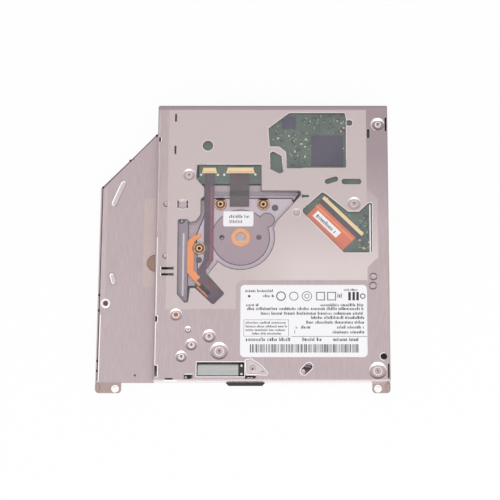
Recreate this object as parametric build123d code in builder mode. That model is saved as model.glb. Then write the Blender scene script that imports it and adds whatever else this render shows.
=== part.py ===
# Slim slot-loading disc drive, lying with its label side up.
# +X runs to the right of the label side, +Y to the rear, +Z out of the label side.
# Z = 0 is the outer face of the top cover, on which the drive lies. All sizes are in millimetres.
from build123d import *
import math
import os

# Envelope
WIDTH = 128.0
DEPTH = 127.0
HEIGHT = 9.5
SHEET = 0.5
WING_HEIGHT = 5.4
MAIN_LEFT = -38.9
CHAMFER_START = 25.3
CHAMFER_END = 51.6
COVER_SETBACK = 1.5
FILM = 0.1
SLOT_TOP = 5.2

# Bends of the pressed sheet
REAR_BEND = 1.5
STEP_BEND = 0.8
FRONT_BEND = 0.7
SIDE_BEND = 0.6

# Clearances
RUN_FIT = 0.04
SEAT_GAP = 0.1
MESH_GAP = 0.3

# Host connector at the rear
HOST_X = 38.0
HOST_WIDTH = 33.0
HOST_LOW = 5.1
HOST_HIGH = 7.4
HOST_DEPTH = 6.0
HOST_BACK = 1.5
HOST_MOUTHS = ((-7.2, 15.0), (8.8, 11.0))

# Where a cylinder or box stands on its place, or hangs from it
UPWARD = (Align.CENTER, Align.CENTER, Align.MIN)
DOWNWARD = (Align.CENTER, Align.CENTER, Align.MAX)

# Levels worked out from the envelope
DECK = HEIGHT - SHEET
WING_CEILING = WING_HEIGHT - SHEET
MECH_FLOOR = WING_CEILING + 0.05
RIGHT = WIDTH / 2
REAR = DEPTH / 2
FRONT = -DEPTH / 2

# Spindle and the slanted traverse
SPINDLE_X = -1.4
SPINDLE_Y = 1.4
LIFT_PIVOT = 66.0
PIVOT_SPAN = 20.9

# Loading gear train
MODULE = 0.4
WHEEL_TEETH = 21
WHEEL_PINION_TEETH = 12
COMPOUND_TEETH = 22
RACK_PINION_TEETH = 12
IDLER_TEETH = 21
CAM_TEETH = 19
WHEEL_X = -26.7
WHEEL_Y = -52.7
COMPOUND_BEARING = 50.9
IDLER_BEARING = 26.3
CAM_BEARING = -56.3
GEAR_POST = 0.7
TOOTH_FOOT = 1.2
TOOTH_SEAT = 0.2
TOOTH_WIDTH = 1.15
TOOTH_HEIGHT = 2.2
TOOTH_FLANK = 78


def pitch_radius(teeth):
    return MODULE * teeth / 2


def step_from(point, distance, bearing):
    angle = math.radians(bearing)
    return (point[0] + distance * math.cos(angle), point[1] + distance * math.sin(angle))


WHEEL_AT = (WHEEL_X, WHEEL_Y)
COMPOUND_AT = step_from(WHEEL_AT, pitch_radius(WHEEL_PINION_TEETH + COMPOUND_TEETH), COMPOUND_BEARING)
IDLER_AT = step_from(COMPOUND_AT, pitch_radius(COMPOUND_TEETH + IDLER_TEETH), IDLER_BEARING)
CAM_AT = step_from(IDLER_AT, pitch_radius(IDLER_TEETH + CAM_TEETH), CAM_BEARING)
RACK_X = COMPOUND_AT[0] - pitch_radius(RACK_PINION_TEETH)

# Pressed dimples of the chassis deck: place, rim radius, floor radius, depth
DIMPLE_WALL = 0.3
DIMPLES = {
    "compound": (COMPOUND_AT[0], COMPOUND_AT[1], 2.6, 1.7, 0.8),
    "wheel": (WHEEL_X, WHEEL_Y, 2.5, 1.6, 0.8),
    "idler": (IDLER_AT[0], IDLER_AT[1], 2.9, 1.9, 0.8),
    "cam": (CAM_AT[0], CAM_AT[1], 3.9, 2.8, 0.8),
    "front_right": (58.5, -59.0, 3.8, 2.6, 0.8),
    "rear_right": (59.7, 54.2, 2.9, 1.8, 0.8),
    "board": (48.8, 16.9, 3.0, 2.1, 0.55),
    "lever": (-24.6, 30.3, 2.8, 1.9, 0.55),
    "slider_post": (-29.3, -34.0, 2.7, 1.9, 0.35),
    "lance": (-27.2, 16.5, 2.2, 1.5, 0.35),
    "rivet": (-23.9, -40.7, 1.5, 1.0, 0.3),
    "nub_rear": (-34.6, 16.5, 1.0, 0.6, 0.3),
    "nub_front": (-34.5, -7.5, 1.0, 0.6, 0.3),
    "pair_rear": (57.0, -16.8, 1.7, 1.2, 0.3),
    "pair_front": (56.7, -20.9, 1.8, 1.2, 0.3),
    "centre_screw": (23.2, 12.7, 1.7, 1.2, 0.3),
}

# Windows of the deck, as corners in order round each one, with a corner radius
BOARD_WINDOW = [(20.0, 59.6), (44.9, 59.6), (45.4, 56.6), (45.3, 33.6), (19.0, 33.6), (18.5, 41.1),
                (15.4, 43.6), (11.2, 43.6), (10.6, 52.3)]
SIX_SIDED_WINDOW = [(11.3, 40.5), (12.7, 41.4), (16.6, 39.2), (17.2, 31.9), (15.8, 31.1), (11.7, 33.2)]
CONNECTOR_WINDOW = [(34.6, 22.2), (36.3, 21.3), (46.1, 13.1), (50.9, 13.1), (55.1, 17.1), (56.7, 17.2),
                    (56.5, -5.8), (44.1, -5.8), (26.0, 12.8), (26.0, 14.2)]
UPPER_SPINDLE_WINDOW = [(-20.8, 35.1), (7.4, 35.1), (7.5, 22.7), (25.0, 22.6), (25.0, 20.8), (21.5, 16.8),
                        (14.2, 8.6), (12.4, 4.0), (-11.0, -6.0), (-19.0, 0.0), (-19.0, 19.0),
                        (-17.5, 20.2), (-17.5, 24.3), (-21.2, 28.6)]
LOWER_SPINDLE_WINDOW = [(-12.0, 2.0), (-11.8, -10.4), (-16.0, -15.9), (-8.5, -24.5), (-13.2, -29.3),
                        (-21.1, -21.8), (-23.6, -21.8), (-24.3, -28.2), (-25.6, -28.4), (-28.8, -24.7),
                        (-29.0, 9.4), (-25.4, 9.4), (-23.9, 8.0), (-21.0, 8.6), (-19.2, 11.4), (-18.0, 14.0)]
SPINDLE_WINDOW_REACH = 14.9
WINDOW_CORNER = 0.7

# Straight slots of the deck: centre, length, width, bearing
DECK_SLOTS = {
    "rear_left": (-30.9, 57.3, 3.9, 0.9, 90.0),
    "mid_left": (-30.9, 42.0, 4.1, 0.9, 90.0),
    "rear_mid": (55.3, 49.7, 3.9, 0.8, 90.0),
    "rear_right": (63.2, 54.1, 6.6, 0.9, 90.0),
    "front_right": (63.2, -59.2, 6.6, 0.9, 90.0),
    "short": (38.75, 27.7, 6.1, 2.4, 18.9),
    "long": (47.7, 27.1, 8.8, 2.6, 0.0),
    "bridge": (27.4, 20.3, 3.3, 1.1, 0.0),
    "lance_left": (-29.3, 16.5, 3.6, 0.7, 90.0),
    "lance_right": (-25.1, 16.5, 3.6, 0.7, 90.0),
    "tool": (27.6, -58.2, 6.2, 3.2, 45.0),
}

# Shallow pocket beside the motor, and the dent in the front bend
FAN_POCKET = [(1.7, -60.4), (1.2, -54.3), (3.6, -53.9), (7.6, -56.4), (10.9, -60.0), (10.2, -60.9)]
FAN_CORNER = 0.4
POCKET_DEPTH = 0.25
FRONT_DENT = (-33.9, -28.3)

# Rectangular openings of the deck: left, front, right, rear
DECK_PORTS = {
    "motor": (-20.0, -61.6, 0.8, -55.2),
    "latch_front": (-36.2, -16.3, -30.9, -15.2),
    "latch_rear": (-36.2, -13.6, -30.9, -12.4),
    "front_catch": (-24.9, -62.4, -21.6, -60.7),
    "tab": (1.5, -62.4, 5.8, -61.1),
    "step_front": (-38.2, -61.7, -37.0, -56.7),
    "step_mid": (-38.2, -37.2, -37.4, -34.6),
    "step_rear": (-38.2, 46.0, -37.4, 47.9),
}

# Round holes of the deck: place, radius
DECK_HOLES = {
    "board_hole": (-16.4, 44.0, 2.4),
    "window_lobe": (46.9, 54.8, 1.4),
    "gauge_hole": (61.1, -52.7, 1.5),
    "slider_post_hole": (-29.3, -34.0, 1.3),
}


def outline(points, level, radius=0.0):
    """Face with the given corners at a level, each corner rounded by radius."""
    with BuildSketch(Plane.XY.offset(level)) as sketch:
        with BuildLine():
            Polyline(*points, close=True)
        make_face()
        if radius > 0:
            fillet(sketch.vertices(), radius)
    return sketch.sketch


def box_between(low, high):
    """Solid block from its lowest to its highest corner."""
    size = [high[i] - low[i] for i in range(3)]
    return Pos(*low) * Box(*size, align=(Align.MIN, Align.MIN, Align.MIN), mode=Mode.PRIVATE)


def save(body, name):
    body.part.label = name
    export_step(body.part, f"parts/{name}.step")


os.makedirs("parts", exist_ok=True)



def pressed_block(left, right, front, rear, low, high, inset):
    """Block with the tray's bends along its upper edges, shrunk by inset for its hollow."""
    with BuildPart() as block:
        with BuildSketch(Plane.XY.offset(low)):
            with Locations(((left + right) / 2, (front + rear) / 2)):
                Rectangle(right - left, rear - front)
        extrude(amount=high - low)
        bends = (
            (Axis.X, Axis.Y, -1, REAR_BEND),
            (Axis.Y, Axis.X, 0, STEP_BEND),
            (Axis.X, Axis.Y, 0, FRONT_BEND),
            (Axis.Y, Axis.X, -1, SIDE_BEND),
        )
        for along, across, place, radius in bends:
            upper = block.edges().filter_by(along).group_by(Axis.Z)[-1].sort_by(across)[place]
            fillet(upper, max(radius - inset, SEAT_GAP / 2))
    return block.part


# Bottom chassis, the deep pressed tray whose deck carries the label
tray = pressed_block(MAIN_LEFT, RIGHT, FRONT, REAR, SHEET, HEIGHT, 0)
tray_hollow = pressed_block(MAIN_LEFT + SHEET, RIGHT - SHEET, FRONT + SHEET, REAR - SHEET, 0, DECK, SHEET)
front_dent = box_between(
    (FRONT_DENT[0], FRONT, HEIGHT - FRONT_BEND), (FRONT_DENT[1], FRONT + 2 * SEAT_GAP, HEIGHT)
)
with BuildPart() as bottom_chassis:
    add(tray)
    add(tray_hollow, mode=Mode.SUBTRACT)
    # The front wall ends above the disc slot, and the step wall stands on the wing panel.
    with BuildSketch(Plane.XY):
        with Locations(((MAIN_LEFT + RIGHT) / 2, FRONT)):
            Rectangle(WIDTH * 2, 4 * SHEET)
    extrude(amount=SLOT_TOP, mode=Mode.SUBTRACT)
    with BuildSketch(Plane.XY):
        with Locations((MAIN_LEFT, (FRONT + CHAMFER_END) / 2)):
            Rectangle(4 * SHEET, CHAMFER_END - FRONT)
    extrude(amount=WING_HEIGHT, mode=Mode.SUBTRACT)
    # Dimples pressed inwards
    for x, y, rim, floor, depth in DIMPLES.values():
        with Locations((x, y, DECK - depth)):
            Cone(floor + DIMPLE_WALL, rim + DIMPLE_WALL, depth, align=UPWARD)
    for x, y, rim, floor, depth in DIMPLES.values():
        with Locations((x, y, HEIGHT - depth)):
            Cone(floor, rim, depth, align=UPWARD, mode=Mode.SUBTRACT)
    # Fan-shaped pocket of the front guide, and the dent over the disc slot
    extrude(outline(FAN_POCKET, HEIGHT, FAN_CORNER), amount=-POCKET_DEPTH, mode=Mode.SUBTRACT)
    add(front_dent, mode=Mode.SUBTRACT)
    # Windows over the board, the connector and the spindle
    extrude(outline(BOARD_WINDOW, HEIGHT, WINDOW_CORNER), amount=-2 * SHEET, mode=Mode.SUBTRACT)
    extrude(outline(SIX_SIDED_WINDOW, HEIGHT, WINDOW_CORNER), amount=-2 * SHEET, mode=Mode.SUBTRACT)
    extrude(outline(CONNECTOR_WINDOW, HEIGHT, WINDOW_CORNER), amount=-2 * SHEET, mode=Mode.SUBTRACT)
    extrude(outline(UPPER_SPINDLE_WINDOW, HEIGHT, WINDOW_CORNER), amount=-2 * SHEET, mode=Mode.SUBTRACT)
    extrude(outline(LOWER_SPINDLE_WINDOW, HEIGHT, WINDOW_CORNER), amount=-2 * SHEET, mode=Mode.SUBTRACT)
    with Locations((SPINDLE_X, SPINDLE_Y, DECK)):
        Cylinder(SPINDLE_WINDOW_REACH, 4 * SHEET, mode=Mode.SUBTRACT)
    for x, y, length, width, bearing in DECK_SLOTS.values():
        with BuildSketch(Plane.XY.offset(HEIGHT)):
            with Locations(Location((x, y, 0), (0, 0, bearing))):
                SlotOverall(length, width)
        extrude(amount=-2 * SHEET, mode=Mode.SUBTRACT)
    for left, front, right, rear in DECK_PORTS.values():
        with BuildSketch(Plane.XY.offset(HEIGHT)):
            with Locations(((left + right) / 2, (front + rear) / 2)):
                Rectangle(right - left, rear - front)
        extrude(amount=-2 * SHEET, mode=Mode.SUBTRACT)
    for x, y, radius in DECK_HOLES.values():
        with Locations((x, y, DECK)):
            Cylinder(radius, 4 * SHEET, mode=Mode.SUBTRACT)
    # Rear opening for the host connector
    with BuildSketch(Plane.XY.offset(HOST_LOW - SEAT_GAP)):
        with Locations((HOST_X, REAR)):
            Rectangle(HOST_WIDTH + 2 * SEAT_GAP, 4 * SHEET)
    extrude(amount=HOST_HIGH - HOST_LOW + 2 * SEAT_GAP, mode=Mode.SUBTRACT)
save(bottom_chassis, "bottom_chassis")


def plate(points, low, high, radius=0.0):
    """Flat solid of the given outline between two levels."""
    return extrude(outline(points, low, radius), amount=high - low, mode=Mode.PRIVATE)


# Wing panel, the shallow pressed sheet beside the tray
wing_inner = MAIN_LEFT + SHEET
wing_outline = [(-RIGHT, FRONT), (wing_inner, FRONT), (wing_inner, CHAMFER_END), (-RIGHT, CHAMFER_START)]
chamfer_inset = SHEET * math.sqrt(2)
wing_hollow = [
    (-RIGHT + SHEET, FRONT - SHEET),
    (wing_inner + SHEET, FRONT - SHEET),
    (wing_inner + SHEET, CHAMFER_END - chamfer_inset + SHEET),
    (-RIGHT + SHEET, CHAMFER_START - chamfer_inset / 2),
]
BAR_POCKET = [(-54.9, 29.8), (-52.2, 28.0), (-56.9, 16.2), (-59.6, 17.4)]
WING_NOTCHES = [(-RIGHT, -24.1), (-RIGHT, -31.1), (-RIGHT, -53.8), (-RIGHT, -58.2), (-63.2, 26.1),
                (-50.1, 39.2)]
NOTCH = 1.0
BAR_DEPTH = 0.35
BAR_BULGE = 0.2
BAR_CORNER = 0.9
BAR_WALL = 0.3
WING_PIPS = ((-60.6, -27.8, 1.6, 0.3), (-46.9, -60.2, 0.7, 0.3))
OVAL_POCKET = (-57.8, -16.7, 6.2, 3.0, -72)
HALF_WINDOW_Y = -9.5
HALF_WINDOW = 4.0
bar_floor = offset(outline(BAR_POCKET, WING_HEIGHT, BAR_CORNER), -BAR_WALL)
wing_sheet = plate(wing_outline, SHEET, WING_HEIGHT)
with BuildPart() as wing_panel:
    add(wing_sheet)
    add(plate(wing_hollow, 0, WING_CEILING), mode=Mode.SUBTRACT)
    # Pressed bar and pip, raised towards the disc bay
    add(plate(BAR_POCKET, WING_CEILING - BAR_BULGE, WING_CEILING, BAR_CORNER))
    extrude(bar_floor, amount=-BAR_DEPTH, mode=Mode.SUBTRACT)
    for x, y, rim, depth in WING_PIPS:
        with Locations((x, y, WING_CEILING - BAR_BULGE)):
            Cylinder(rim, BAR_BULGE, align=UPWARD)
        with Locations((x, y, WING_HEIGHT - depth)):
            Cylinder(rim - BAR_WALL, depth, align=UPWARD, mode=Mode.SUBTRACT)
    with BuildSketch(Plane.XY.offset(WING_HEIGHT)):
        with Locations(Location((OVAL_POCKET[0], OVAL_POCKET[1], 0), (0, 0, OVAL_POCKET[4]))):
            SlotOverall(OVAL_POCKET[2], OVAL_POCKET[3])
    extrude(amount=-BAR_DEPTH, mode=Mode.SUBTRACT)
    with BuildSketch(Plane.XY.offset(WING_CEILING)):
        with Locations(Location((OVAL_POCKET[0], OVAL_POCKET[1], 0), (0, 0, OVAL_POCKET[4]))):
            SlotOverall(OVAL_POCKET[2] + 2 * BAR_WALL, OVAL_POCKET[3] + 2 * BAR_WALL)
    extrude(amount=-BAR_BULGE)
    # Notches in the outer edge
    for x, y in WING_NOTCHES:
        with Locations((x, y, WING_HEIGHT)):
            Box(NOTCH, NOTCH, 4 * SHEET, mode=Mode.SUBTRACT)
    # Half-round window beside the step
    with BuildSketch(Plane.XY.offset(WING_HEIGHT)):
        with Locations((MAIN_LEFT, HALF_WINDOW_Y)):
            Circle(HALF_WINDOW)
        with Locations((MAIN_LEFT + HALF_WINDOW, HALF_WINDOW_Y)):
            Rectangle(2 * HALF_WINDOW, 3 * HALF_WINDOW, mode=Mode.SUBTRACT)
    extrude(amount=-2 * SHEET, mode=Mode.SUBTRACT)
save(wing_panel, "wing_panel")

# Top cover, the flat pressed lid on which the drive lies
cover_outline = [(-RIGHT, FRONT + COVER_SETBACK), (RIGHT, FRONT + COVER_SETBACK), (RIGHT, REAR),
                 (MAIN_LEFT, REAR), (MAIN_LEFT, CHAMFER_END), (-RIGHT, CHAMFER_START)]
TAB_HEIGHT = 2.4
TAB_LENGTH = 11.0
TAB_SHEET = 0.4
SIDE_TABS = (-50.0, -22.0, 6.0, 34.0)
REAR_TABS = (-26.0, -2.0, 26.0, 50.0)
CLAMP_SEAT = 9.0
CLAMP_SEAT_DEPTH = 0.2
with BuildPart() as top_cover:
    add(plate(cover_outline, 0, SHEET))
    # Tabs that slip inside the walls
    for y in SIDE_TABS:
        add(box_between(
            (RIGHT - SHEET - SEAT_GAP - TAB_SHEET, y - TAB_LENGTH / 2, SHEET),
            (RIGHT - SHEET - SEAT_GAP, y + TAB_LENGTH / 2, TAB_HEIGHT),
        ))
    for x in REAR_TABS:
        add(box_between(
            (x - TAB_LENGTH / 2, REAR - SHEET - SEAT_GAP - TAB_SHEET, SHEET),
            (x + TAB_LENGTH / 2, REAR - SHEET - SEAT_GAP, TAB_HEIGHT),
        ))
    # Clamp seat pressed outwards round the spindle
    with Locations((SPINDLE_X, SPINDLE_Y, SHEET)):
        Cylinder(CLAMP_SEAT, CLAMP_SEAT_DEPTH, align=DOWNWARD, mode=Mode.SUBTRACT)
save(top_cover, "top_cover")

# Film over the mechanism, and the strip on the wing
FILM_OUTLINE = [(-33.9, 61.0), (54.0, 61.0), (54.0, 24.2), (59.2, 19.1), (59.2, -8.0), (54.8, -12.1),
                (54.8, -18.4), (-1.1, -18.4), (-3.2, -20.5), (-3.2, -31.5), (-33.3, -31.5)]
SKEW_SCREWS = [(-10.5, 16.8), (8.5, 16.7), (-19.6, -3.7)]
SKEW_HEAD = 2.7
FILM_HOLE_GAP = 0.25
FILM_CORNER = 1.0
with BuildPart() as insulation_film:
    add(plate(FILM_OUTLINE, HEIGHT, HEIGHT + FILM, FILM_CORNER))
    with Locations(*((x, y, HEIGHT) for x, y in SKEW_SCREWS)):
        Cylinder(SKEW_HEAD + FILM_HOLE_GAP, 4 * FILM, mode=Mode.SUBTRACT)
save(insulation_film, "insulation_film")

WING_FILM_WIDTH = 5.5
WING_FILM_FRONT = -20.4
WING_FILM_REAR = 20.3
with BuildPart() as wing_film:
    add(box_between(
        (MAIN_LEFT - WING_FILM_WIDTH, WING_FILM_FRONT, WING_HEIGHT),
        (MAIN_LEFT, WING_FILM_REAR, WING_HEIGHT + FILM),
    ))
    with Locations((MAIN_LEFT, HALF_WINDOW_Y, WING_HEIGHT)):
        Cylinder(HALF_WINDOW, 4 * FILM, mode=Mode.SUBTRACT)
save(wing_film, "wing_film")

# Blank rating label
LABEL = (-1.2, -53.0, 54.1, -20.6)
LABEL_CORNER = 1.8
with BuildPart() as rating_label:
    with BuildSketch(Plane.XY.offset(HEIGHT)):
        with Locations(((LABEL[0] + LABEL[2]) / 2, (LABEL[1] + LABEL[3]) / 2)):
            RectangleRounded(LABEL[2] - LABEL[0], LABEL[3] - LABEL[1], LABEL_CORNER)
    extrude(amount=FILM)
save(rating_label, "rating_label")

# Mounting ears that stand out of the front edge
EAR_LOW = 5.0
EAR_SHEET = 0.6
EAR_HOLE_Y = -66.2
EAR_REACH = 4.5
EAR_HOLE = 1.2
EAR_CORNER = 1.6
EAR_RIM = 0.5
EAR_RIM_HEIGHT = 0.2
EAR_FOLD = 1.0
EAR_FOLD_INSET = 1.2
EAR_FOLD_HEIGHT = 1.4
for name, hole_x, inner, outer in (
    ("left_mount_ear", 8.7 - RIGHT, 11.3 - RIGHT, -RIGHT),
    ("right_mount_ear", RIGHT - 5.4, RIGHT - 7.9, RIGHT),
):
    side = -1 if outer < 0 else 1
    with BuildPart() as ear:
        with BuildSketch(Plane.XY.offset(EAR_LOW)):
            with Locations(((inner + outer) / 2, FRONT - EAR_REACH / 2)):
                Rectangle(abs(outer - inner), EAR_REACH)
        extrude(amount=EAR_SHEET)
        fillet(ear.edges().filter_by(Axis.Z).group_by(Axis.Y)[0], EAR_CORNER)
        # Raised rim round the hole
        with Locations((hole_x, EAR_HOLE_Y, EAR_LOW + EAR_SHEET)):
            Cylinder(EAR_HOLE + EAR_RIM, EAR_RIM_HEIGHT, align=UPWARD)
        with Locations((hole_x, EAR_HOLE_Y, EAR_LOW)):
            Cylinder(EAR_HOLE, 4 * EAR_SHEET, mode=Mode.SUBTRACT)
        # Folded outer end
        with Locations((outer - side * EAR_FOLD_INSET, FRONT - EAR_REACH / 2, EAR_LOW)):
            Box(EAR_FOLD, EAR_REACH - EAR_CORNER, EAR_FOLD_HEIGHT, align=UPWARD)
    save(ear, name)

# Black pad under the front edge
PAD_REACH = 1.3
PAD_TOP = 5.8
PAD_OUTLINE = [(-7.4, FRONT), (9.6, FRONT), (8.4, FRONT - PAD_REACH), (-6.2, FRONT - PAD_REACH)]
with BuildPart() as front_pad:
    add(plate(PAD_OUTLINE, MECH_FLOOR, PAD_TOP))
save(front_pad, "front_pad")

# Main board under the rear of the deck
BOARD_LOW = 7.5
BOARD_SHEET = 0.8
BOARD_TOP = BOARD_LOW + BOARD_SHEET
BOARD_OUTLINE = [(-20.2, 62.6), (56.9, 62.6), (56.9, -6.2), (43.6, -6.2), (24.6, 12.8), (24.6, 26.4),
                 (-20.2, 26.4)]
BOARD_SCREW = 0.9
with BuildPart() as main_board:
    add(plate(BOARD_OUTLINE, BOARD_LOW, BOARD_TOP))
    with Locations((DIMPLES["board"][0], DIMPLES["board"][1], BOARD_LOW)):
        Cylinder(BOARD_SCREW + RUN_FIT * 2, 4 * BOARD_SHEET, mode=Mode.SUBTRACT)
save(main_board, "main_board")

CHIP_HEIGHT = 0.55
CHIP_CHAMFER = 0.12
CHIPS = (("controller_chip", 37.0, 42.0, 14.0), ("driver_chip", 19.9, 55.3, 6.0))
for name, x, y, size in CHIPS:
    with BuildPart() as chip:
        with Locations((x, y, BOARD_TOP)):
            Box(size, size, CHIP_HEIGHT, align=UPWARD)
        chamfer(chip.edges().group_by(Axis.Z)[-1], CHIP_CHAMFER)
    save(chip, name)

# Small parts on the board: place, size along X and along Y
BOARD_PART_HEIGHT = 0.45
BOARD_PARTS = [
    (26.4, 56.6, 1.0, 0.5), (28.6, 55.2, 0.5, 1.0), (31.0, 57.4, 1.6, 0.8), (35.2, 56.3, 1.0, 0.5),
    (38.6, 54.6, 0.5, 1.0), (41.8, 56.9, 1.6, 0.8), (43.2, 52.6, 0.5, 1.0), (14.2, 50.0, 1.0, 0.5),
    (16.6, 46.6, 1.6, 0.8), (21.4, 46.4, 1.2, 2.0), (23.9, 42.6, 1.2, 2.0), (22.6, 38.2, 1.0, 0.5),
    (24.9, 35.6, 0.5, 1.0), (21.6, 35.2, 1.6, 0.8), (54.6, 6.2, 1.0, 0.5), (54.8, 2.2, 0.5, 1.0),
    (53.4, 11.4, 1.6, 0.8),
]
with BuildPart() as board_components:
    for x, y, along, across in BOARD_PARTS:
        with Locations((x, y, BOARD_TOP)):
            Box(along, across, BOARD_PART_HEIGHT, align=UPWARD)
save(board_components, "board_components")

# Flex connectors on the board
CONNECTOR_HEIGHT = 0.55
SLED_CONNECTOR = [(-18.9, 31.3), (-12.2, 31.3), (-12.8, 33.8), (-18.3, 33.8)]
SPINDLE_CONNECTOR = [(-8.1, 31.3), (4.6, 31.3), (3.9, 33.9), (-7.4, 33.9)]
with BuildPart() as sled_connector:
    add(plate(SLED_CONNECTOR, BOARD_TOP, BOARD_TOP + CONNECTOR_HEIGHT))
save(sled_connector, "sled_connector")
with BuildPart() as spindle_connector:
    add(plate(SPINDLE_CONNECTOR, BOARD_TOP, BOARD_TOP + CONNECTOR_HEIGHT))
save(spindle_connector, "spindle_connector")

# Wide pickup connector, slanted like the traverse
PICKUP_CONNECTOR = Plane(origin=(43.8, 11.3, 0), x_dir=(1, -1, 0), z_dir=(0, 0, 1))
PICKUP_CONNECTOR_LENGTH = 24.4
HOUSING_WIDTH = 1.6
LATCH_WIDTH = 2.3
FLEX_SHEET = 0.12
with BuildPart() as pickup_connector:
    with BuildSketch(PICKUP_CONNECTOR.offset(BOARD_TOP)):
        Rectangle(PICKUP_CONNECTOR_LENGTH, HOUSING_WIDTH)
    extrude(amount=CONNECTOR_HEIGHT)
save(pickup_connector, "pickup_connector")
with BuildPart() as pickup_latch:
    with BuildSketch(PICKUP_CONNECTOR.offset(BOARD_TOP)):
        with Locations((0, -(HOUSING_WIDTH + LATCH_WIDTH) / 2)):
            Rectangle(PICKUP_CONNECTOR_LENGTH, LATCH_WIDTH)
    extrude(amount=CONNECTOR_HEIGHT - SEAT_GAP)
save(pickup_latch, "pickup_latch")

# Flexes: the wide pickup flex, the sled flex, the spindle flex and the switch flex
FLEX_LEVEL = 8.66
PICKUP_FLEX_START = HOUSING_WIDTH / 2 + LATCH_WIDTH
PICKUP_FLEX = (-0.3, 22.6, 11.2)
FLEX_TAG = (-2.4, 4.6, 14.4, 3.4)
SPINDLE_FLEX = (-6.4, 15.6, 2.2, 31.2)
with BuildPart() as pickup_flex:
    with BuildSketch(PICKUP_CONNECTOR.offset(BOARD_TOP + SEAT_GAP)):
        with Locations((PICKUP_FLEX[0], -PICKUP_FLEX_START - PICKUP_FLEX[2] / 2)):
            Rectangle(PICKUP_FLEX[1], PICKUP_FLEX[2])
    extrude(amount=FLEX_SHEET)
save(pickup_flex, "pickup_flex")
with BuildPart() as flex_tag:
    with BuildSketch(PICKUP_CONNECTOR.offset(BOARD_TOP + SEAT_GAP + FLEX_SHEET)):
        with Locations((FLEX_TAG[0], -PICKUP_FLEX_START - FLEX_TAG[1])):
            Rectangle(FLEX_TAG[2], FLEX_TAG[3])
    extrude(amount=FLEX_SHEET / 2)
save(flex_tag, "flex_tag")

SLED_FLEX = [(-17.6, 31.2), (-13.4, 31.2), (-13.4, -9.0), (-16.6, -13.6), (-16.2, -15.6), (-8.4, -24.4),
             (-13.2, -29.4), (-20.8, -20.8), (-20.4, -14.0), (-17.6, -9.0)]
SWITCH_FLEX = [(-24.8, -0.5), (-22.6, 1.8), (-19.0, 3.2), (-19.0, 1.6), (-21.8, -0.5), (-22.0, -13.5),
               (-14.8, -21.8), (-16.8, -24.0), (-24.8, -14.8)]
with BuildPart() as sled_flex:
    add(plate(SLED_FLEX, FLEX_LEVEL, FLEX_LEVEL + FLEX_SHEET))
    with Locations(*((x, y, FLEX_LEVEL) for x, y in SKEW_SCREWS)):
        Cylinder(SKEW_HEAD + MESH_GAP, 4 * FLEX_SHEET, mode=Mode.SUBTRACT)
save(sled_flex, "sled_flex")
with BuildPart() as switch_flex:
    add(plate(SWITCH_FLEX, FLEX_LEVEL + FLEX_SHEET, FLEX_LEVEL + 2 * FLEX_SHEET))
    with Locations(*((x, y, FLEX_LEVEL) for x, y in SKEW_SCREWS)):
        Cylinder(SKEW_HEAD + MESH_GAP, 8 * FLEX_SHEET, mode=Mode.SUBTRACT)
save(switch_flex, "switch_flex")
with BuildPart() as spindle_flex:
    add(box_between(
        (SPINDLE_FLEX[0], SPINDLE_FLEX[1], FLEX_LEVEL),
        (SPINDLE_FLEX[2], SPINDLE_FLEX[3], FLEX_LEVEL + FLEX_SHEET),
    ))
save(spindle_flex, "spindle_flex")

# Host connector in the rear wall
with BuildPart() as host_connector:
    add(box_between(
        (HOST_X - HOST_WIDTH / 2, REAR - HOST_DEPTH, HOST_LOW),
        (HOST_X + HOST_WIDTH / 2, REAR, HOST_HIGH),
    ))
    # Two keyed mouths
    for offset_x, width in HOST_MOUTHS:
        with Locations((HOST_X + offset_x, REAR, (HOST_LOW + HOST_HIGH) / 2)):
            Box(width, 2 * (HOST_DEPTH - HOST_BACK), HOST_HIGH - HOST_LOW - 2 * SHEET, mode=Mode.SUBTRACT)
save(host_connector, "host_connector")

# Loading motor with its end cap, behind the front edge
WORM_REACH = 1.6
MOTOR_AXIS_Y = WHEEL_Y - pitch_radius(WHEEL_TEETH) - WORM_REACH
MOTOR_AXIS_Z = 6.95
MOTOR_LEFT = -19.5
MOTOR_RIGHT = -1.9
MOTOR_CAP_RIGHT = 0.7
MOTOR_BREADTH = 5.8
MOTOR_TALL = 3.8
WORM_SHAFT = 0.5
MOTOR_EDGE = 1.2
WORM_SOCKET = 2.0
with BuildPart() as loading_motor:
    with BuildSketch(Plane.YZ.offset(MOTOR_LEFT)):
        with Locations((MOTOR_AXIS_Y, MOTOR_AXIS_Z)):
            RectangleRounded(MOTOR_BREADTH, MOTOR_TALL, MOTOR_EDGE)
    extrude(amount=MOTOR_RIGHT - MOTOR_LEFT)
    with Locations(Location((MOTOR_LEFT, MOTOR_AXIS_Y, MOTOR_AXIS_Z), (0, 90, 0))):
        Cylinder(WORM_SHAFT + RUN_FIT, 2 * WORM_SOCKET, mode=Mode.SUBTRACT)
save(loading_motor, "loading_motor")
with BuildPart() as motor_cap:
    with BuildSketch(Plane.YZ.offset(MOTOR_RIGHT)):
        with Locations((MOTOR_AXIS_Y, MOTOR_AXIS_Z)):
            RectangleRounded(MOTOR_BREADTH, MOTOR_TALL, MOTOR_EDGE)
    extrude(amount=MOTOR_CAP_RIGHT - MOTOR_RIGHT)
save(motor_cap, "motor_cap")

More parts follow.
